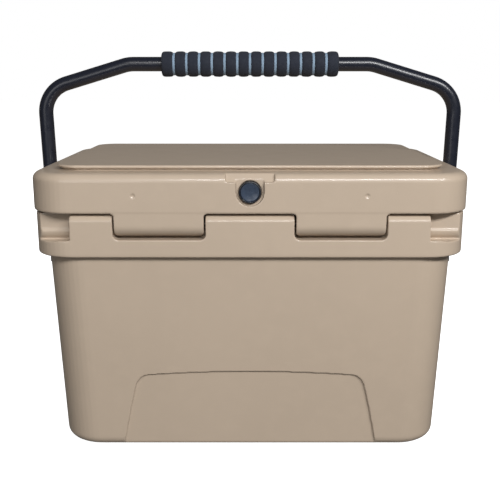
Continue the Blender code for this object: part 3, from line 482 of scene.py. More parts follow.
def box(name, low, high, round_by=0.0, segments=4):
    low, high = Vector(low), Vector(high)
    bm = bmesh.new()
    bmesh.ops.create_cube(bm, size=1.0)
    bmesh.ops.scale(bm, vec=high - low, verts=bm.verts)
    bmesh.ops.translate(bm, vec=(low + high) / 2, verts=bm.verts)
    if round_by:
        bmesh.ops.bevel(bm, geom=bm.edges[:], offset=round_by, segments=segments, profile=0.5, affect="EDGES")
    return link_mesh(name, bm)


def freeze(obj):
    """Swap an object's mesh for the one its modifiers give."""
    graph = bpy.context.evaluated_depsgraph_get()
    mesh = bpy.data.meshes.new_from_object(obj.evaluated_get(graph))
    tools = [m.object for m in obj.modifiers if m.type == "BOOLEAN"]
    obj.modifiers.clear()
    obj.data = mesh
    for tool in tools:
        bpy.data.objects.remove(tool, do_unlink=True)
    return obj


def combine(obj, tools, operation="DIFFERENCE"):
    """Cut, add or intersect tools, which are used up."""
    for tool in tools:
        modifier = obj.modifiers.new("cut", "BOOLEAN")
        modifier.object = tool
        modifier.operation = operation
    return freeze(obj)


def fuse(obj, voxel, passes, keep):
    """Fuse cut solids into one skin whose edges are softened as a moulding's are."""
    remesh = obj.modifiers.new("skin", "REMESH")
    remesh.mode = "VOXEL"
    remesh.voxel_size = voxel
    relax = obj.modifiers.new("relax", "SMOOTH")
    relax.factor = 0.5
    relax.iterations = passes
    thin = obj.modifiers.new("thin", "DECIMATE")
    thin.ratio = keep
    even = obj.modifiers.new("even", "WEIGHTED_NORMAL")
    even.weight = 80
    freeze(obj)
    return obj


def smooth(obj, angle=38):
    obj.data.shade_smooth()
    obj.data.set_sharp_from_angle(angle=math.radians(angle))
    return obj


def dress(obj, body, material, slot, *nodes):
    """Give a piece its material and its body, and hide the CAD nodes that it stands for. The slot argument is
    not used.
    """
    obj.data.materials.clear()
    obj.data.materials.append(material)
    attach(obj, body)
    if nodes:
        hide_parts(*nodes)
    return obj


def shell_voxel():
    return VOXEL


# ---------------------------------------------------------------- body moulding
def lower_half(z):
    """Half sizes of the drafted body at a height."""
    share = (z - BOTTOM_ROUND) / (RIM_BOTTOM_Z - BOTTOM_ROUND)
    return tuple(low + (high - low) * share for low, high in zip(BASE_HALF, NECK_HALF))


def body_rings():
    """From the underside, over the rim and down to the cavity floor."""
    rings = []
    for pull, rise in arc((0, 0), 1.0, 0, 90, 8):
        z = UNDERSIDE_Z + BOTTOM_ROUND * (1 - pull)
        inward = BOTTOM_ROUND * (1 - rise)
        rings.append(rounded_ring(grown(lower_half(z), -inward), CORNER - inward * 0.6, z))
    rings.append(rounded_ring(NECK_HALF, CORNER, RIM_BOTTOM_Z))
    for inward, rise in arc((RIM_EDGE, RIM_EDGE), RIM_EDGE, 270, 180, 5):
        rings.append(rounded_ring(grown(RIM_HALF, -inward), CORNER, RIM_BOTTOM_Z + rise))
    top = RIM_TOP_Z - RIM_DROP
    for inward, rise in arc((TOP_EDGE, -TOP_EDGE), TOP_EDGE, 180, 90, 4):
        rings.append(rounded_ring(grown(RIM_HALF, -inward), CORNER, top + rise))
    for outward, rise in arc((MOUTH_ROUND, -MOUTH_ROUND), MOUTH_ROUND, 90, 180, 4):
        rings.append(rounded_ring(grown(MOUTH_HALF, outward), CAVITY_CORNER, top + rise))
    for outward, rise in arc((-FLOOR_ROUND, FLOOR_ROUND), FLOOR_ROUND, 0, -90, 6):
        corner = CAVITY_CORNER + outward * 0.6
        rings.append(rounded_ring(grown(FLOOR_HALF, outward), corner, FLOOR_Z + rise))
    return rings


def arch_cutters():
    """Rear and front panel recesses, leaned to follow the drafted walls."""
    crown_drop = 0.315
    shoulder = arc((0.1145, 0.0745), 0.0195, 10, 76, 10)
    crown = [(x, ARCH_TOP_Z - crown_drop * x * x) for x in (0.112, 0.10, 0.08, 0.06, 0.04, 0.02)]
    half = [(0.154, -0.020), (0.1492, 0.006), (0.1445, 0.030), (0.1392, 0.055)] + shoulder + crown
    outline = half + [(0.0, ARCH_TOP_Z)] + [(-x, z) for x, z in reversed(half)]
    lean = math.atan2(NECK_HALF[1] - BASE_HALF[1], RIM_BOTTOM_Z - BOTTOM_ROUND)
    tools = []
    for side in (-1, 1):
        tool = prism("arch", outline, "XZ", -0.02, 0.02)
        place = Matrix.Translation((0, side * (BASE_HALF[1] - ARCH_DEPTH + 0.02), BOTTOM_ROUND))
        shift = Matrix.Translation((0, 0, -BOTTOM_ROUND))
        tool.data.transform(place @ Matrix.Rotation(-side * lean, 4, "X") @ shift)
        tools.append(tool)
    return tools


def mirrored(side, low, high):
    """An interval on the +X side, or its mirror on the other, low end first."""
    return sorted((side * low, side * high))


def pocket_tool(side):
    """Space for a lid tab: rounded in section about the pin, rounded at its corners from behind."""
    top, beyond = RIM_TOP_Z + 0.01, 0.010
    floor, flare = PIN_Z - POCKET_R, LUG_SHOULDER
    section = [(BEHIND_Y, floor)] + arc((PIN_Y, PIN_Z), POCKET_R, -90, 0)
    section += [(PIN_Y + POCKET_R, top), (BEHIND_Y, top)]
    low, high = mirrored(side, *POCKET_X)
    front = soften([
        (low, RIM_TOP_Z, flare), (low, floor, POCKET_CORNER), (high, floor, POCKET_CORNER),
        (high, RIM_TOP_Z, flare), (high + beyond, RIM_TOP_Z, 0), (high + beyond, top, 0),
        (low - beyond, top, 0), (low - beyond, RIM_TOP_Z, 0),
    ])
    tool = prism("pocket", section, "YZ", low - 2 * beyond, high + 2 * beyond)
    return combine(tool, [prism("pocket_front", front, "XZ", OUTSIDE_Y, INSIDE_Y)], "INTERSECT")


def hinge_rail_tools():
    """Rounded fronts of the lugs, the lid tabs' pockets, the tie-down notches and the pin's cap seats."""
    top = RIM_TOP_Z + 0.01
    lug = [(BEHIND_Y, PIN_Z)] + arc((PIN_Y, PIN_Z), LUG_R, 180, 90) + [(PIN_Y, top), (BEHIND_Y, top)]
    corner = (NOTCH_Y + UNDERCUT_R, LEDGE_Z - LEDGE_DIP + UNDERCUT_R)
    notch = [(BEHIND_Y, LEDGE_Z), (LEDGE_LIP_Y, LEDGE_Z), (LEDGE_FLOOR_Y, LEDGE_Z - LEDGE_DIP)]
    notch += arc(corner, UNDERCUT_R, -90, -180)
    wall = NOTCH_Y + NOTCH_STEP
    notch += [(wall, corner[1] + NOTCH_STEP), (wall, top), (BEHIND_Y, top)]
    tools = [prism("lug", lug, "YZ", -LUG_END_X - 0.001, LUG_END_X + 0.001)]
    for side in (-1, 1):
        tools.append(pocket_tool(side))
        tools.append(prism("notch", notch, "YZ", *mirrored(side, LUG_END_X, 0.26)))
        seat = mirrored(side, LUG_END_X - 0.004, LUG_END_X + 0.002)
        tools.append(rod("cap_seat", "X", *seat, (0, PIN_Y, PIN_Z), 0.0058))
    return tools


def body_moulding():
    """Drafted tub with its rim and cavity, side bosses, arches, hinge rail and seats."""
    shell = loft("body_moulding", body_rings())
    bosses = [
        rod("boss", "X", *mirrored(side, 0.222, BOSS_FACE_X), (0, 0, PIVOT_Z), BOSS_R, 0.0015, 64)
        for side in (-1, 1)
    ]
    combine(shell, bosses, "UNION")
    tools = arch_cutters() + hinge_rail_tools()
    for side in (-1, 1):
        x = side * LATCH_X
        low = (x - LATCH_RECESS_HALF, KEEPER_BACK_Y, RIM_BOTTOM_Z - 0.002)
        tools.append(box("keeper_seat", low, (x + LATCH_RECESS_HALF, 0.17, RIM_TOP_Z + 0.01)))
    for sx, sy in ((-1, -1), (-1, 1), (1, -1), (1, 1)):
        x, y = sx * FOOT_XY[0], sy * FOOT_XY[1]
        tools.append(box("foot_seat", (x - 0.0305, y - 0.0155, -0.01), (x + 0.0305, y + 0.0155, 0.0053)))
    combine(shell, tools)
    fuse(shell, shell_voxel(), RELAX_PASSES, KEEP_FACES)
    dress(shell, "body", MOULDED_TAN, "tan_shell", "body_shell")


# ---------------------------------------------------------------- lid moulding
def lid_rings():
    """From the tongue's underside, out and up to the raised plateau."""
    rings = []
    for inward, rise in arc((0.004, 0.004), 0.004, 270, 180, 4):
        rings.append(rounded_ring(grown(TONGUE_HALF, -inward), 0.028 - inward * 0.5, TONGUE_Z + rise))
    under = LID_BOTTOM_Z + SEAM_LIFT
    rings.append(rounded_ring(TONGUE_HALF, 0.028, under))
    for inward, rise in arc((0.0022, 0.0022), 0.0022, 270, 180, 5):
        rings.append(rounded_ring(grown(LID_HALF, -inward), CORNER, under + rise))
    for inward, rise in arc((LID_ROUND, -LID_ROUND), LID_ROUND, 180, 90, 8):
        corner = CORNER - inward * 0.5
        rings.append(rounded_ring(grown(LID_HALF, -inward), corner, LID_TOP_Z - LID_SLOPE + rise))
    under_lip = PLATEAU_Z - LIP_DEPTH
    for outward, z in ((LIP_REACH + 0.0011, LID_TOP_Z), (-LIP_WALL, LID_TOP_Z),
                       (-LIP_WALL, under_lip - 0.0004), (LIP_REACH - 0.0003, under_lip)):
        rings.append(rounded_ring(grown(PLATEAU_HALF, outward), PLATEAU_CORNER + outward, z))
    for inward, rise in arc((PLATEAU_EDGE, -PLATEAU_EDGE), PLATEAU_EDGE, 180, 90, 5):
        half = grown(PLATEAU_HALF, LIP_REACH - inward)
        rings.append(rounded_ring(half, PLATEAU_CORNER - inward, PLATEAU_Z + rise))
    return rings


def tab_pieces(side):
    """Knuckle tab with rounded lower corners, and the small fillets where it leaves the lid."""
    top = LID_BOTTOM_Z + 0.003
    section = arc((PIN_Y, PIN_Z), KNUCKLE_R, 180, 360, 20)
    section += [(PIN_Y + KNUCKLE_R, top), (PIN_Y - KNUCKLE_R, top)]
    low, high = mirrored(side, *TAB_X)
    floor = PIN_Z - KNUCKLE_R
    front = soften([(low, floor, TAB_CORNER), (high, floor, TAB_CORNER), (high, top, 0), (low, top, 0)])
    tab = prism("tab", section, "YZ", low - 0.01, high + 0.01)
    combine(tab, [prism("tab_front", front, "XZ", OUTSIDE_Y, INSIDE_Y)], "INTERSECT")
    reach = LUG_SHOULDER
    pieces = [tab]
    for edge, away in ((low, -1), (high, 1)):
        fillet = [(edge + away * reach, LID_BOTTOM_Z)]
        curve = arc((edge + away * reach, LID_BOTTOM_Z - reach), reach, 90, 90 + away * 90, 6)
        fillet += curve + [(edge - away * 0.002, LID_BOTTOM_Z - reach), (edge - away * 0.002, top)]
        fillet += [(edge + away * reach, top)]
        pieces.append(prism("fillet", fillet, "XZ", PIN_Y - KNUCKLE_R, -0.1545))
    return pieces


def valve_seat_tools():
    """U recess, top notch and bore in the rear face."""
    corner, recess_top, above = 0.0035, 0.326, 0.35
    recess = soften([
        (VALVE_RECESS_R, recess_top, 0), (-VALVE_RECESS_R, recess_top, 0), (-VALVE_RECESS_R, VALVE_Z, 0),
    ]) + arc((0, VALVE_Z), VALVE_RECESS_R, 180, 360, 24)
    notch = soften([
        (-VALVE_NOTCH_HALF, above, 0), (-VALVE_NOTCH_HALF, VALVE_NOTCH_Z, corner),
        (VALVE_NOTCH_HALF, VALVE_NOTCH_Z, corner), (VALVE_NOTCH_HALF, above, 0),
    ])
    (low_y, low_z), (high_y, high_z) = VALVE_NOTCH_RAMP
    ramp = [(OUTSIDE_Y, low_z), (low_y, low_z), (high_y, high_z), (high_y, above), (OUTSIDE_Y, above)]
    notch_tool = prism("notch", notch, "XZ", BEHIND_Y, high_y - 0.0002)
    combine(notch_tool, [prism("notch_ramp", ramp, "YZ", -0.04, 0.04)], "INTERSECT")
    return [
        notch_tool,
        prism("recess", recess, "XZ", OUTSIDE_Y, VALVE_LAND_Y),
        rod("counterbore", "Y", -0.17, VALVE_FLOOR_Y, (0, 0, VALVE_Z), 0.0126, 0.0, 96),
        rod("bore", "Y", -0.17, -0.1297, (0, 0, VALVE_Z), 0.0088),
    ]


def gasket_groove_rings():
    """Section of the groove under the lid, from below its mouth up to its roof and back."""
    mouth, roof = LID_BOTTOM_Z - 0.003, LID_BOTTOM_Z + 0.0045
    outer, outer_corner = grown(SEAL_HALF, SEAL_GROOVE), SEAL_CORNER + SEAL_GROOVE
    inner, inner_corner = grown(SEAL_HALF, -SEAL_GROOVE), SEAL_CORNER - SEAL_GROOVE
    return [
        rounded_ring(outer, outer_corner, mouth), rounded_ring(outer, outer_corner, roof),
        rounded_ring(inner, inner_corner, roof), rounded_ring(inner, inner_corner, mouth),
    ]


def lid_moulding():
    """Lid with its tabs, valve seat, gasket groove, latch recesses and sink marks."""
    shell = loft("lid_moulding", lid_rings())
    combine(shell, tab_pieces(-1) + tab_pieces(1), "UNION")
    tools = valve_seat_tools()
    tools.append(loft("gasket_groove", gasket_groove_rings(), closed=True))
    dent, sunk = 0.0040, 0.0012
    for side in (-1, 1):
        x = side * LATCH_X
        low = (x - LATCH_RECESS_HALF, LATCH_RECESS_Y, 0.28)
        tools.append(box("latch_recess", low, (x + LATCH_RECESS_HALF, 0.17, LATCH_RECESS_TOP_Z), 0.002))
        mark = bmesh.new()
        place = Matrix.Translation((side * SINK_MARK[0], -LID_HALF[1] - dent + sunk, SINK_MARK[1]))
        bmesh.ops.create_uvsphere(mark, u_segments=24, v_segments=16, radius=dent, matrix=place)
        tools.append(link_mesh("sink_mark", mark))
    combine(shell, tools)
    fuse(shell, shell_voxel(), RELAX_PASSES, LID_KEEP_FACES)
    dress(shell, "lid", MOULDED_TAN, "tan_shell", "lid_shell")


def gasket():
    """Soft seal in the lid's groove."""
    low, high = LID_BOTTOM_Z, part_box("lid_gasket")[1].z
    section = soften([
        (-0.0036, low, 0.0009), (0.0036, low, 0.0009), (0.0036, high, 0.0006), (-0.0036, high, 0.0006),
    ], 4)
    rings = [rounded_ring(grown(SEAL_HALF, offset), SEAL_CORNER + offset, z, 16) for offset, z in section]
    seal = smooth(loft("lid_seal", rings, closed=True))
    dress(seal, "lid", BLACK_RUBBER, "rubber", "lid_gasket")


# ---------------------------------------------------------------- release valve
def valve():
    """Flanged barrel with its face ring, and the dished push cap on its stem."""
    centre = (0, 0, VALVE_Z)
    ring_low, ring_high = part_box("valve_body")
    face, back = ring_low.y, ring_high.y
    outer, inner, barrel, spring_bore, lip = 0.0120, 0.01035, 0.0085, 0.0065, 0.0035
    flange, well, seat = -0.1526, -0.1541, -0.1315
    section = soften([
        (outer, flange, 0.0003), (outer, face, 0.0009), (inner, face, 0.0005), (inner, well, 0.0002),
        (spring_bore, well, 0.0002), (spring_bore, seat, 0.0002), (lip, seat, 0.0002),
        (lip, back, 0.0002), (barrel, back, 0.0004), (barrel, flange, 0.0),
    ], 4)
    ring = smooth(turned("valve_ring", "Y", centre, section, 96))
    dress(ring, "lid", RING_PLASTIC, "black_plastic", "valve_body")

    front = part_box("valve_button")[0].y
    dish = ((0.0, 0.0013), (0.0028, 0.00124), (0.0052, 0.00096), (0.0072, 0.00054),
            (0.0088, 0.00018), (0.0095, 0.0))
    profile = [(radius, front + depth) for radius, depth in dish]
    profile += arc((0.0097, front + 0.0003), 0.0003, -90, 0, 4)
    stem, stem_end = 0.0025, -0.1335
    profile += [(0.0100, -0.1573), (0.0098, -0.1571), (0.0030, -0.1571), (stem, -0.1566)]
    profile += [(stem, stem_end - 0.0003), (stem - 0.0003, stem_end), (0.0, stem_end)]
    cap = smooth(turned("valve_cap_disc", "Y", centre, profile, 96, False), 50)
    dress(cap, "valve_cap", BUTTON_PLASTIC, "black_plastic", "valve_button")


# ---------------------------------------------------------------- handle
def leg_x(z):
    """X of the bail's right leg at a height; the legs lean out a little."""
    return LEG_FOOT_X + (LEG_TOP[0] - LEG_FOOT_X) * (z - PIVOT_Z) / (LEG_TOP[1] - PIVOT_Z)


def handle_tube():
    """Round tube swept along the bail's bends, from one eye fitting up and over to the other."""
    corners = [(leg_x(TUBE_END_Z), TUBE_END_Z, 0), (*LEG_TOP, LOWER_BEND_R), (*SLOPE_TOP, UPPER_BEND_R)]
    route = soften(corners + [(-x, z, r) for x, z, r in reversed(corners)], 24)
    curve = bpy.data.curves.new("bail_route", "CURVE")
    curve.dimensions = "3D"
    curve.bevel_depth = TUBE_R
    curve.bevel_resolution = 10
    curve.use_fill_caps = True
    spline = curve.splines.new("POLY")
    spline.points.add(len(route) - 1)
    for point, (x, z) in zip(spline.points, route):
        point.co = (x, 0.0, z, 1.0)
    guide = bpy.data.objects.new("bail_route", curve)
    bpy.context.scene.collection.objects.link(guide)
    graph = bpy.context.evaluated_depsgraph_get()
    skin = bpy.data.meshes.new_from_object(guide.evaluated_get(graph))
    bail = bpy.data.objects.new("bail_tube", skin)
    bpy.context.scene.collection.objects.link(bail)
    bpy.data.objects.remove(guide, do_unlink=True)
    dress(smooth(bail), "handle", SATIN_BLACK, "black_tube", "handle_tube")


def grip_profile():
    """(radius, along) points of the foam sleeve: swelling segments between narrow grooves."""
    bore, shoulder, shoulder_r, end_r = TUBE_R + 0.0003, 0.0004, 0.0132, 0.0120
    crown_steps = 14
    profile = [(bore, -GRIP_HALF), (end_r, -GRIP_HALF), (shoulder_r, -GRIP_HALF + shoulder)]
    for index in range(GRIP_SEGMENTS):
        middle = (index - (GRIP_SEGMENTS - 1) / 2) * GRIP_PITCH
        start = middle - GRIP_PITCH / 2 + GRIP_GROOVE_HALF
        end = middle + GRIP_PITCH / 2 - GRIP_GROOVE_HALF
        if index == 0:
            start = -GRIP_HALF + shoulder
        if index == GRIP_SEGMENTS - 1:
            end = GRIP_HALF - shoulder
        for step in range(crown_steps + 1):
            share = -math.cos(math.pi * step / crown_steps)
            swell = (1 - abs(share) ** 3.2) ** 0.55
            along = (start + end) / 2 + (end - start) / 2 * share
            profile.append((GRIP_GROOVE_R + (GRIP_R - GRIP_GROOVE_R) * swell, along))
    return profile + [(shoulder_r, GRIP_HALF - shoulder), (end_r, GRIP_HALF), (bore, GRIP_HALF)]


def grip():
    """Foam sleeve with a soft, uneven skin, and a paler ring laid in each groove."""
    sleeve = turned("grip_sleeve", "X", (0, 0, SLOPE_TOP[1]), grip_profile(), 96)
    skin_r, wobble_scale, wobble_depth = 0.0125, 210.0, 0.00014
    for vertex in sleeve.data.vertices:
        radial = Vector((0, vertex.co.y, vertex.co.z - SLOPE_TOP[1]))
        if radial.length > skin_r:
            wobble = noise.noise(vertex.co * wobble_scale) * wobble_depth - wobble_depth
            vertex.co += radial.normalized() * wobble
    dress(smooth(sleeve, 60), "handle", FOAM_SLEEVE, "grip_foam", "handle_grip")

    rings = bmesh.new()
    facets = 96
    section = arc((0.0, 0.0), GRIP_GROOVE_HALF, 0, 360, 16)[:-1]
    for index in range(GRIP_SEGMENTS - 1):
        centre = (index - (GRIP_SEGMENTS - 2) / 2) * GRIP_PITCH
        loops = []
        for radial, along in section:
            x, radius = centre + along * 1.25, GRIP_GROOVE_R - 0.0001 + radial * 0.35
            loop = []
            for step in range(facets):
                angle = 2 * math.pi * step / facets
                y, z = radius * math.cos(angle), SLOPE_TOP[1] + radius * math.sin(angle)
                loop.append(rings.verts.new((x, y, z)))
            loops.append(loop)
        for low, high in zip(loops, loops[1:] + loops[:1]):
            for i in range(facets):
                j = (i + 1) % facets
                rings.faces.new((low[i], low[j], high[j], high[i]))
    bands = smooth(link_mesh("grip_groove_rings", rings), 60)
    dress(bands, "handle", GROOVE_FOAM, "grip_foam")


def handle_ends():
    """Eye fittings around the pivots, with their collars, and the domed rivets."""
    collar_low, shoulder_z = 0.1955, 0.2028
    for side, tag in SIDES:
        eye_low, eye_high = mirrored(side, 0.2416, 0.2524)
        outline = arc((0, PIVOT_Z), 0.013, 175, 365, 36)
        neck = [(0.0102, 0.1965), (0.0091, 0.2012), (0.0086, 0.2024), (0.0080, shoulder_z)]
        outline += neck + [(-y, z) for y, z in reversed(neck)]
        fitting = prism("eye_" + tag, outline, "YZ", eye_low, eye_high)
        foot = (side * leg_x(0.200), 0, 0)
        collar = rod("collar", "Z", collar_low, TUBE_END_Z - 0.0003, foot, TUBE_R, 0.0008, 48)
        combine(fitting, [collar], "UNION")
        bore = rod("bore", "X", *mirrored(side, 0.230, 0.27), (0, 0, PIVOT_Z), 0.0063, 0.0, 48)
        combine(fitting, [bore])
        fuse(fitting, 0.0004, 4, 0.3)
        dress(fitting, "handle", EYE_PLASTIC, "black_plastic", "handle_fitting_" + tag)

        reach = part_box("handle_rivet_" + tag)[1].y
        head_r, seat = 0.0034, -TUBE_R + 0.0002
        dome = [(0.0, -reach), (0.0018, -reach + 0.0001), (0.0029, -reach + 0.0006)]
        dome += [(head_r, -reach + 0.0012), (head_r, seat), (0.0020, seat)]
        profile = dome + [(radius, -along) for radius, along in reversed(dome)]
        centre = (side * leg_x(RIVET_Z), 0, RIVET_Z)
        rivet = smooth(turned("rivet_" + tag, "Y", centre, profile, 40, False), 40)
        dress(rivet, "handle", BRUSHED_STEEL, "steel", "handle_rivet_" + tag)


def pivots():
    """Button-head bolts with hex sockets, and the plain washers behind the eyes."""
    end, shank, flange, flange_x, crown = 0.217, 0.0030, 0.0085, 0.2527, 0.0052
    bore, rim, edge = 0.0033, 0.014, 0.0003
    for side, tag in SIDES:
        low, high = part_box("pivot_bolt_" + tag)
        tip = high.x if side > 0 else -low.x
        profile = [(0.0, end), (0.0026, end), (shank, end + 0.0004), (shank, flange_x)]
        profile += [(0.0080, flange_x), (flange, flange_x + 0.0004)]
        profile += arc((crown, tip - 0.0042), 0.0034, 5, 75, 7) + [(crown, tip), (0.0, tip)]
        placed = [(radius, side * along) for radius, along in profile]
        bolt = turned("bolt_" + tag, "X", (0, 0, PIVOT_Z), placed, 64, False)
        deep = mirrored(side, tip - 0.0026, tip + 0.003)
        combine(bolt, [rod("socket", "X", *deep, (0, 0, PIVOT_Z), 0.0026, 0.0, 6)])
        dress(smooth(bolt, 40), "body", BRUSHED_STEEL, "steel", "pivot_bolt_" + tag)

        near, far = mirrored(side, 0.2398, 0.2413)
        section = soften([(bore, near, 0.0002), (rim, near, edge), (rim, far, edge), (bore, far, 0.0002)], 4)
        washer = smooth(turned("washer_" + tag, "X", (0, 0, PIVOT_Z), section, 72))
        dress(washer, "body", BEARING_NYLON, "bearing_plastic", "pivot_washer_" + tag)


# ---------------------------------------------------------------- hinge, latches and feet
def hinge_ends():
    """Moulded plugs over the pin's ends, and the pin itself."""
    for tag in ("left", "right"):
        low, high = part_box("hinge_cap_" + tag)
        cap = smooth(rod("hinge_plug_" + tag, "X", low.x, high.x, (0, PIN_Y, PIN_Z), 0.0055, 0.0008, 48))
        dress(cap, "body", MOULDED_TAN, "tan_shell", "hinge_cap_" + tag)
    low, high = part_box("hinge_pin")
    pin = smooth(rod("hinge_rod", "X", low.x, high.x, (0, PIN_Y, PIN_Z), 0.003, 0.0005, 40))
    dress(pin, "body", DARK_STEEL, "steel", "hinge_pin")


def latch(side, tag):
    """T-shaped rubber latch: barrel, strap with a raised border, eared head and ribbed finger tab."""
    x = side * LATCH_X
    low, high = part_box("latch_" + tag)
    front, back, end = 0.1573, 0.1505, low.z
    root = LATCH_PIN[1] - 0.003
    barrel = rod("latch_strap_" + tag, "X", low.x, high.x, (0, *LATCH_PIN), 0.007, 0.0012, 48)
    strap = prism("strap", soften([
        (back, root, 0), (back, end + 0.003, 0.001), (back + 0.002, end, 0.001),
        (front - 0.001, end, 0.001), (front, end + 0.003, 0.001), (front - 0.0012, end + 0.010, 0.004),
        (front, end + 0.015, 0.003), (front, root, 0),
    ]), "YZ", x - 0.015, x + 0.015)
    ears = box("ears", (low.x, 0.1524, 0.241), (high.x, front - 0.0004, 0.255), 0.0018)
    combine(barrel, [strap, ears], "UNION")
    field_low, field_high = (x - 0.0105, front - 0.0009, 0.262), (x + 0.0105, front + 0.004, 0.300)
    tools = [box("field", field_low, field_high, 0.0008)]
    for rib in range(4):
        z = end + 0.0042 + rib * 0.0026
        tools.append(rod("rib", "X", x - 0.0125, x + 0.0125, (0, front + 0.0001, z), 0.0009, 0.0003, 12))
    tools.append(rod("eye", "X", x - 0.03, x + 0.03, (0, *LATCH_PIN), 0.0028, 0.0, 32))
    combine(barrel, tools)
    fuse(barrel, 0.0005, 3, 0.3)
    dress(barrel, "latch_l" if side < 0 else "latch_r", BLACK_RUBBER, "rubber", "latch_" + tag)
    pin_low, pin_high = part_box("latch_pin_" + tag)
    pin = rod("latch_rod_" + tag, "X", pin_low.x, pin_high.x, (0, *LATCH_PIN), 0.0025, 0.0004, 36)
    smooth(pin)
    dress(pin, "lid", BRUSHED_STEEL, "steel", "latch_pin_" + tag)


def keeper(side, tag):
    """Steel plate with a rib at each end and two countersunk screws."""
    x = side * LATCH_X
    low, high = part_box("latch_keeper_" + tag)
    face, rib_x, rib_top, screw_x, screw_z = KEEPER_BACK_Y + 0.0023, 0.0185, 0.260, 0.010, 0.265
    plate = box("keeper_" + tag, (low.x, low.y, low.z), (high.x, face, high.z), 0.0006, 3)
    ribs = [
        box("rib", (x + dx - 0.002, low.y, low.z), (x + dx + 0.002, high.y, rib_top), 0.0007, 3)
        for dx in (-rib_x, rib_x)
    ]
    combine(plate, ribs, "UNION")
    sinks = [
        rod("sink", "Y", 0.1480, 0.1520, (x + dx, 0, screw_z), 0.0038, 0.0, 32)
        for dx in (-screw_x, screw_x)
    ]
    combine(plate, sinks)
    dress(smooth(plate, 30), "body", BRUSHED_STEEL, "steel", "latch_keeper_" + tag)
    for dx, mark in ((-screw_x, "a"), (screw_x, "b")):
        screw(f"keeper_screw_{tag}_{mark}", "Y", (x + dx, 0, screw_z), 0.0034, 0.0018)


def screw(node, axis, centre, head_r, shank_r):
    """Cross-recess screw in a CAD screw's place, head outwards."""
    low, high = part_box(node)
    along = "XYZ".index(axis)
    head, tip = (high[along], low[along]) if axis == "Y" else (low[along], high[along])
    sink = math.copysign(0.0009 if axis == "Y" else 0.0017, tip - head)
    profile = [(0.0, head), (head_r * 0.7, head), (head_r, head + sink * 0.35), (head_r, head + sink)]
    profile += [(shank_r, head + sink), (shank_r, tip - sink), (shank_r * 0.5, tip), (0.0, tip)]
    point = list(centre)
    point[along] = 0.0
    piece = turned(node + "_turned", axis, point, profile, 40, False)
    slots = []
    long, narrow, depth = 0.0035, 0.0008, 0.0011
    for across, up in ((long, narrow), (narrow, long)):
        size = Vector((0.0, 0.0, 0.0))
        size[along], size[(along + 1) % 3], size[(along + 2) % 3] = depth, across, up
        middle = Vector(centre)
        middle[along] = head
        slots.append(box("slot", middle - size / 2, middle + size / 2))
    combine(piece, slots)
    dress(smooth(piece, 40), "body", BRUSHED_STEEL, "steel", node)


def feet():
    """Rubber pads with rounded corners, three grip grooves each side and a screw well."""
    for sx in (-1, 1):
        for sy in (-1, 1):
            tag = ("rear_" if sy < 0 else "front_") + ("left" if sx < 0 else "right")
            low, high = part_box("foot_" + tag)
            x, y = sx * FOOT_XY[0], sy * FOOT_XY[1]
            pad = box("pad_" + tag, low, high, 0.0012, 3)
            tools = [rod("well", "Z", -0.002, 0.003, (x, y, 0), 0.0045, 0.0, 32)]
            for offset in (-0.024, -0.018, -0.012, 0.012, 0.018, 0.024):
                start = (x + offset - 0.0009, low.y - 0.01, -0.002)
                end = (x + offset + 0.0009, high.y + 0.01, 0.0007)
                tools.append(box("groove", start, end))
            combine(pad, tools)
            dress(smooth(pad, 30), "body", BLACK_RUBBER, "rubber", "foot_" + tag)
            screw("foot_screw_" + tag, "Z", (x, y, 0), 0.004, 0.002)


# ---------------------------------------------------------------- carried-over CAD nodes
def carried_over():
    """Inner pieces keep their CAD shape and take finished materials."""
    looks = {
        "body_foam_core": INSULATION, "lid_foam_core": INSULATION,
        "body_fill_plug": MOULDED_TAN, "lid_fill_plug": MOULDED_TAN,
        "pivot_insert_left": INSERT_BRASS, "pivot_insert_right": INSERT_BRASS,
        "pivot_bush_left": BEARING_NYLON, "pivot_bush_right": BEARING_NYLON,
        "valve_seal": BLACK_RUBBER, "valve_spring": BRUSHED_STEEL,
    }
    for node, material in looks.items():
        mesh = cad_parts[node].data
        mesh.materials.clear()
        mesh.materials.append(material)


# ---------------------------------------------------------------- studio
def look_at(obj, target):
    direction = Vector(target) - obj.location
    obj.rotation_euler = direction.to_track_quat("-Z", "Y").to_euler()


def area_light(name, place, target, size, watts):
    data = bpy.data.lights.new(name, "AREA")
    data.shape = "RECTANGLE"
    data.size, data.size_y = size
    data.energy = watts
    lamp = bpy.data.objects.new(name, data)
    lamp.location = place
    look_at(lamp, target)
    bpy.context.scene.collection.objects.link(lamp)
    return lamp


def studio_camera():
    data = bpy.data.cameras.new("camera")
    data.lens = CAMERA_LENS
    data.sensor_width = 36.0
    camera = bpy.data.objects.new("camera", data)
    camera.location = CAMERA_PLACE
    camera.rotation_euler = (math.radians(CAMERA_TILT), 0.0, 0.0)
    bpy.context.scene.collection.objects.link(camera)
    bpy.context.scene.camera = camera


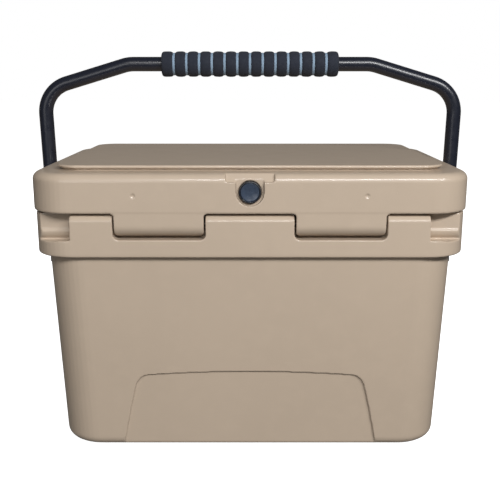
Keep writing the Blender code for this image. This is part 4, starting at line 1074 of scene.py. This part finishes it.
def studio_lights():
    """Wide, low key from the right; a weak fill; a light behind that leaves no shine on the lid."""
    middle = (0.0, 0.0, 0.20)
    area_light("key", (0.80, -2.05, 1.58), middle, (2.4, 0.36), 73.0)
    area_light("fill", (-0.9, -2.2, 0.70), middle, (1.0, 0.8), 5.5)
    area_light("back", (-0.6, 2.3, 1.25), middle, (1.6, 1.0), 26.0).visible_glossy = False


def studio_world():
    """White behind the chest for the camera, and a weak warm light for everything else."""
    world = bpy.data.worlds.new("studio")
    world.use_nodes = True
    bpy.context.scene.world = world
    tree = world.node_tree
    background = tree.nodes["Background"]
    background.inputs["Color"].default_value = (1.0, 0.965, 0.92, 1.0)
    background.inputs["Strength"].default_value = 0.10
    seen = tree.nodes.new("ShaderNodeBackground")
    seen.inputs["Color"].default_value = (1.0, 1.0, 1.0, 1.0)
    seen.inputs["Strength"].default_value = 1.0
    path = tree.nodes.new("ShaderNodeLightPath")
    mix = tree.nodes.new("ShaderNodeMixShader")
    tree.links.new(path.outputs["Is Camera Ray"], mix.inputs["Fac"])
    tree.links.new(background.outputs["Background"], mix.inputs[1])
    tree.links.new(seen.outputs["Background"], mix.inputs[2])
    tree.links.new(mix.outputs["Shader"], tree.nodes["World Output"].inputs["Surface"])


def studio_floor():
    """Plain pale disc that shows white and throws no light back."""
    bm = bmesh.new()
    bmesh.ops.create_circle(bm, cap_ends=True, segments=96, radius=12.0)
    floor = link_mesh("studio_floor", bm)
    pale = bpy.data.materials.new("pale_floor")
    pale.use_nodes = True
    shader = pale.node_tree.nodes["Principled BSDF"]
    shader.inputs["Base Color"].default_value = (0.9, 0.9, 0.9, 1.0)
    shader.inputs["Roughness"].default_value = 0.9
    shader.inputs["Specular IOR Level"].default_value = 0.0
    shader.inputs["Emission Color"].default_value = (1.0, 1.0, 1.0, 1.0)
    shader.inputs["Emission Strength"].default_value = 0.93
    floor.data.materials.append(pale)
    floor.visible_diffuse = False
    floor.visible_glossy = False


def studio():
    bpy.context.scene.view_settings.view_transform = "Standard"
    studio_camera()
    studio_lights()
    studio_world()
    studio_floor()


# ---------------------------------------------------------------- assembly
body_moulding()
lid_moulding()
gasket()
valve()
handle_tube()
grip()
handle_ends()
pivots()
hinge_ends()
for latch_side, latch_tag in SIDES:
    latch(latch_side, latch_tag)
    keeper(latch_side, latch_tag)
feet()
carried_over()
studio()
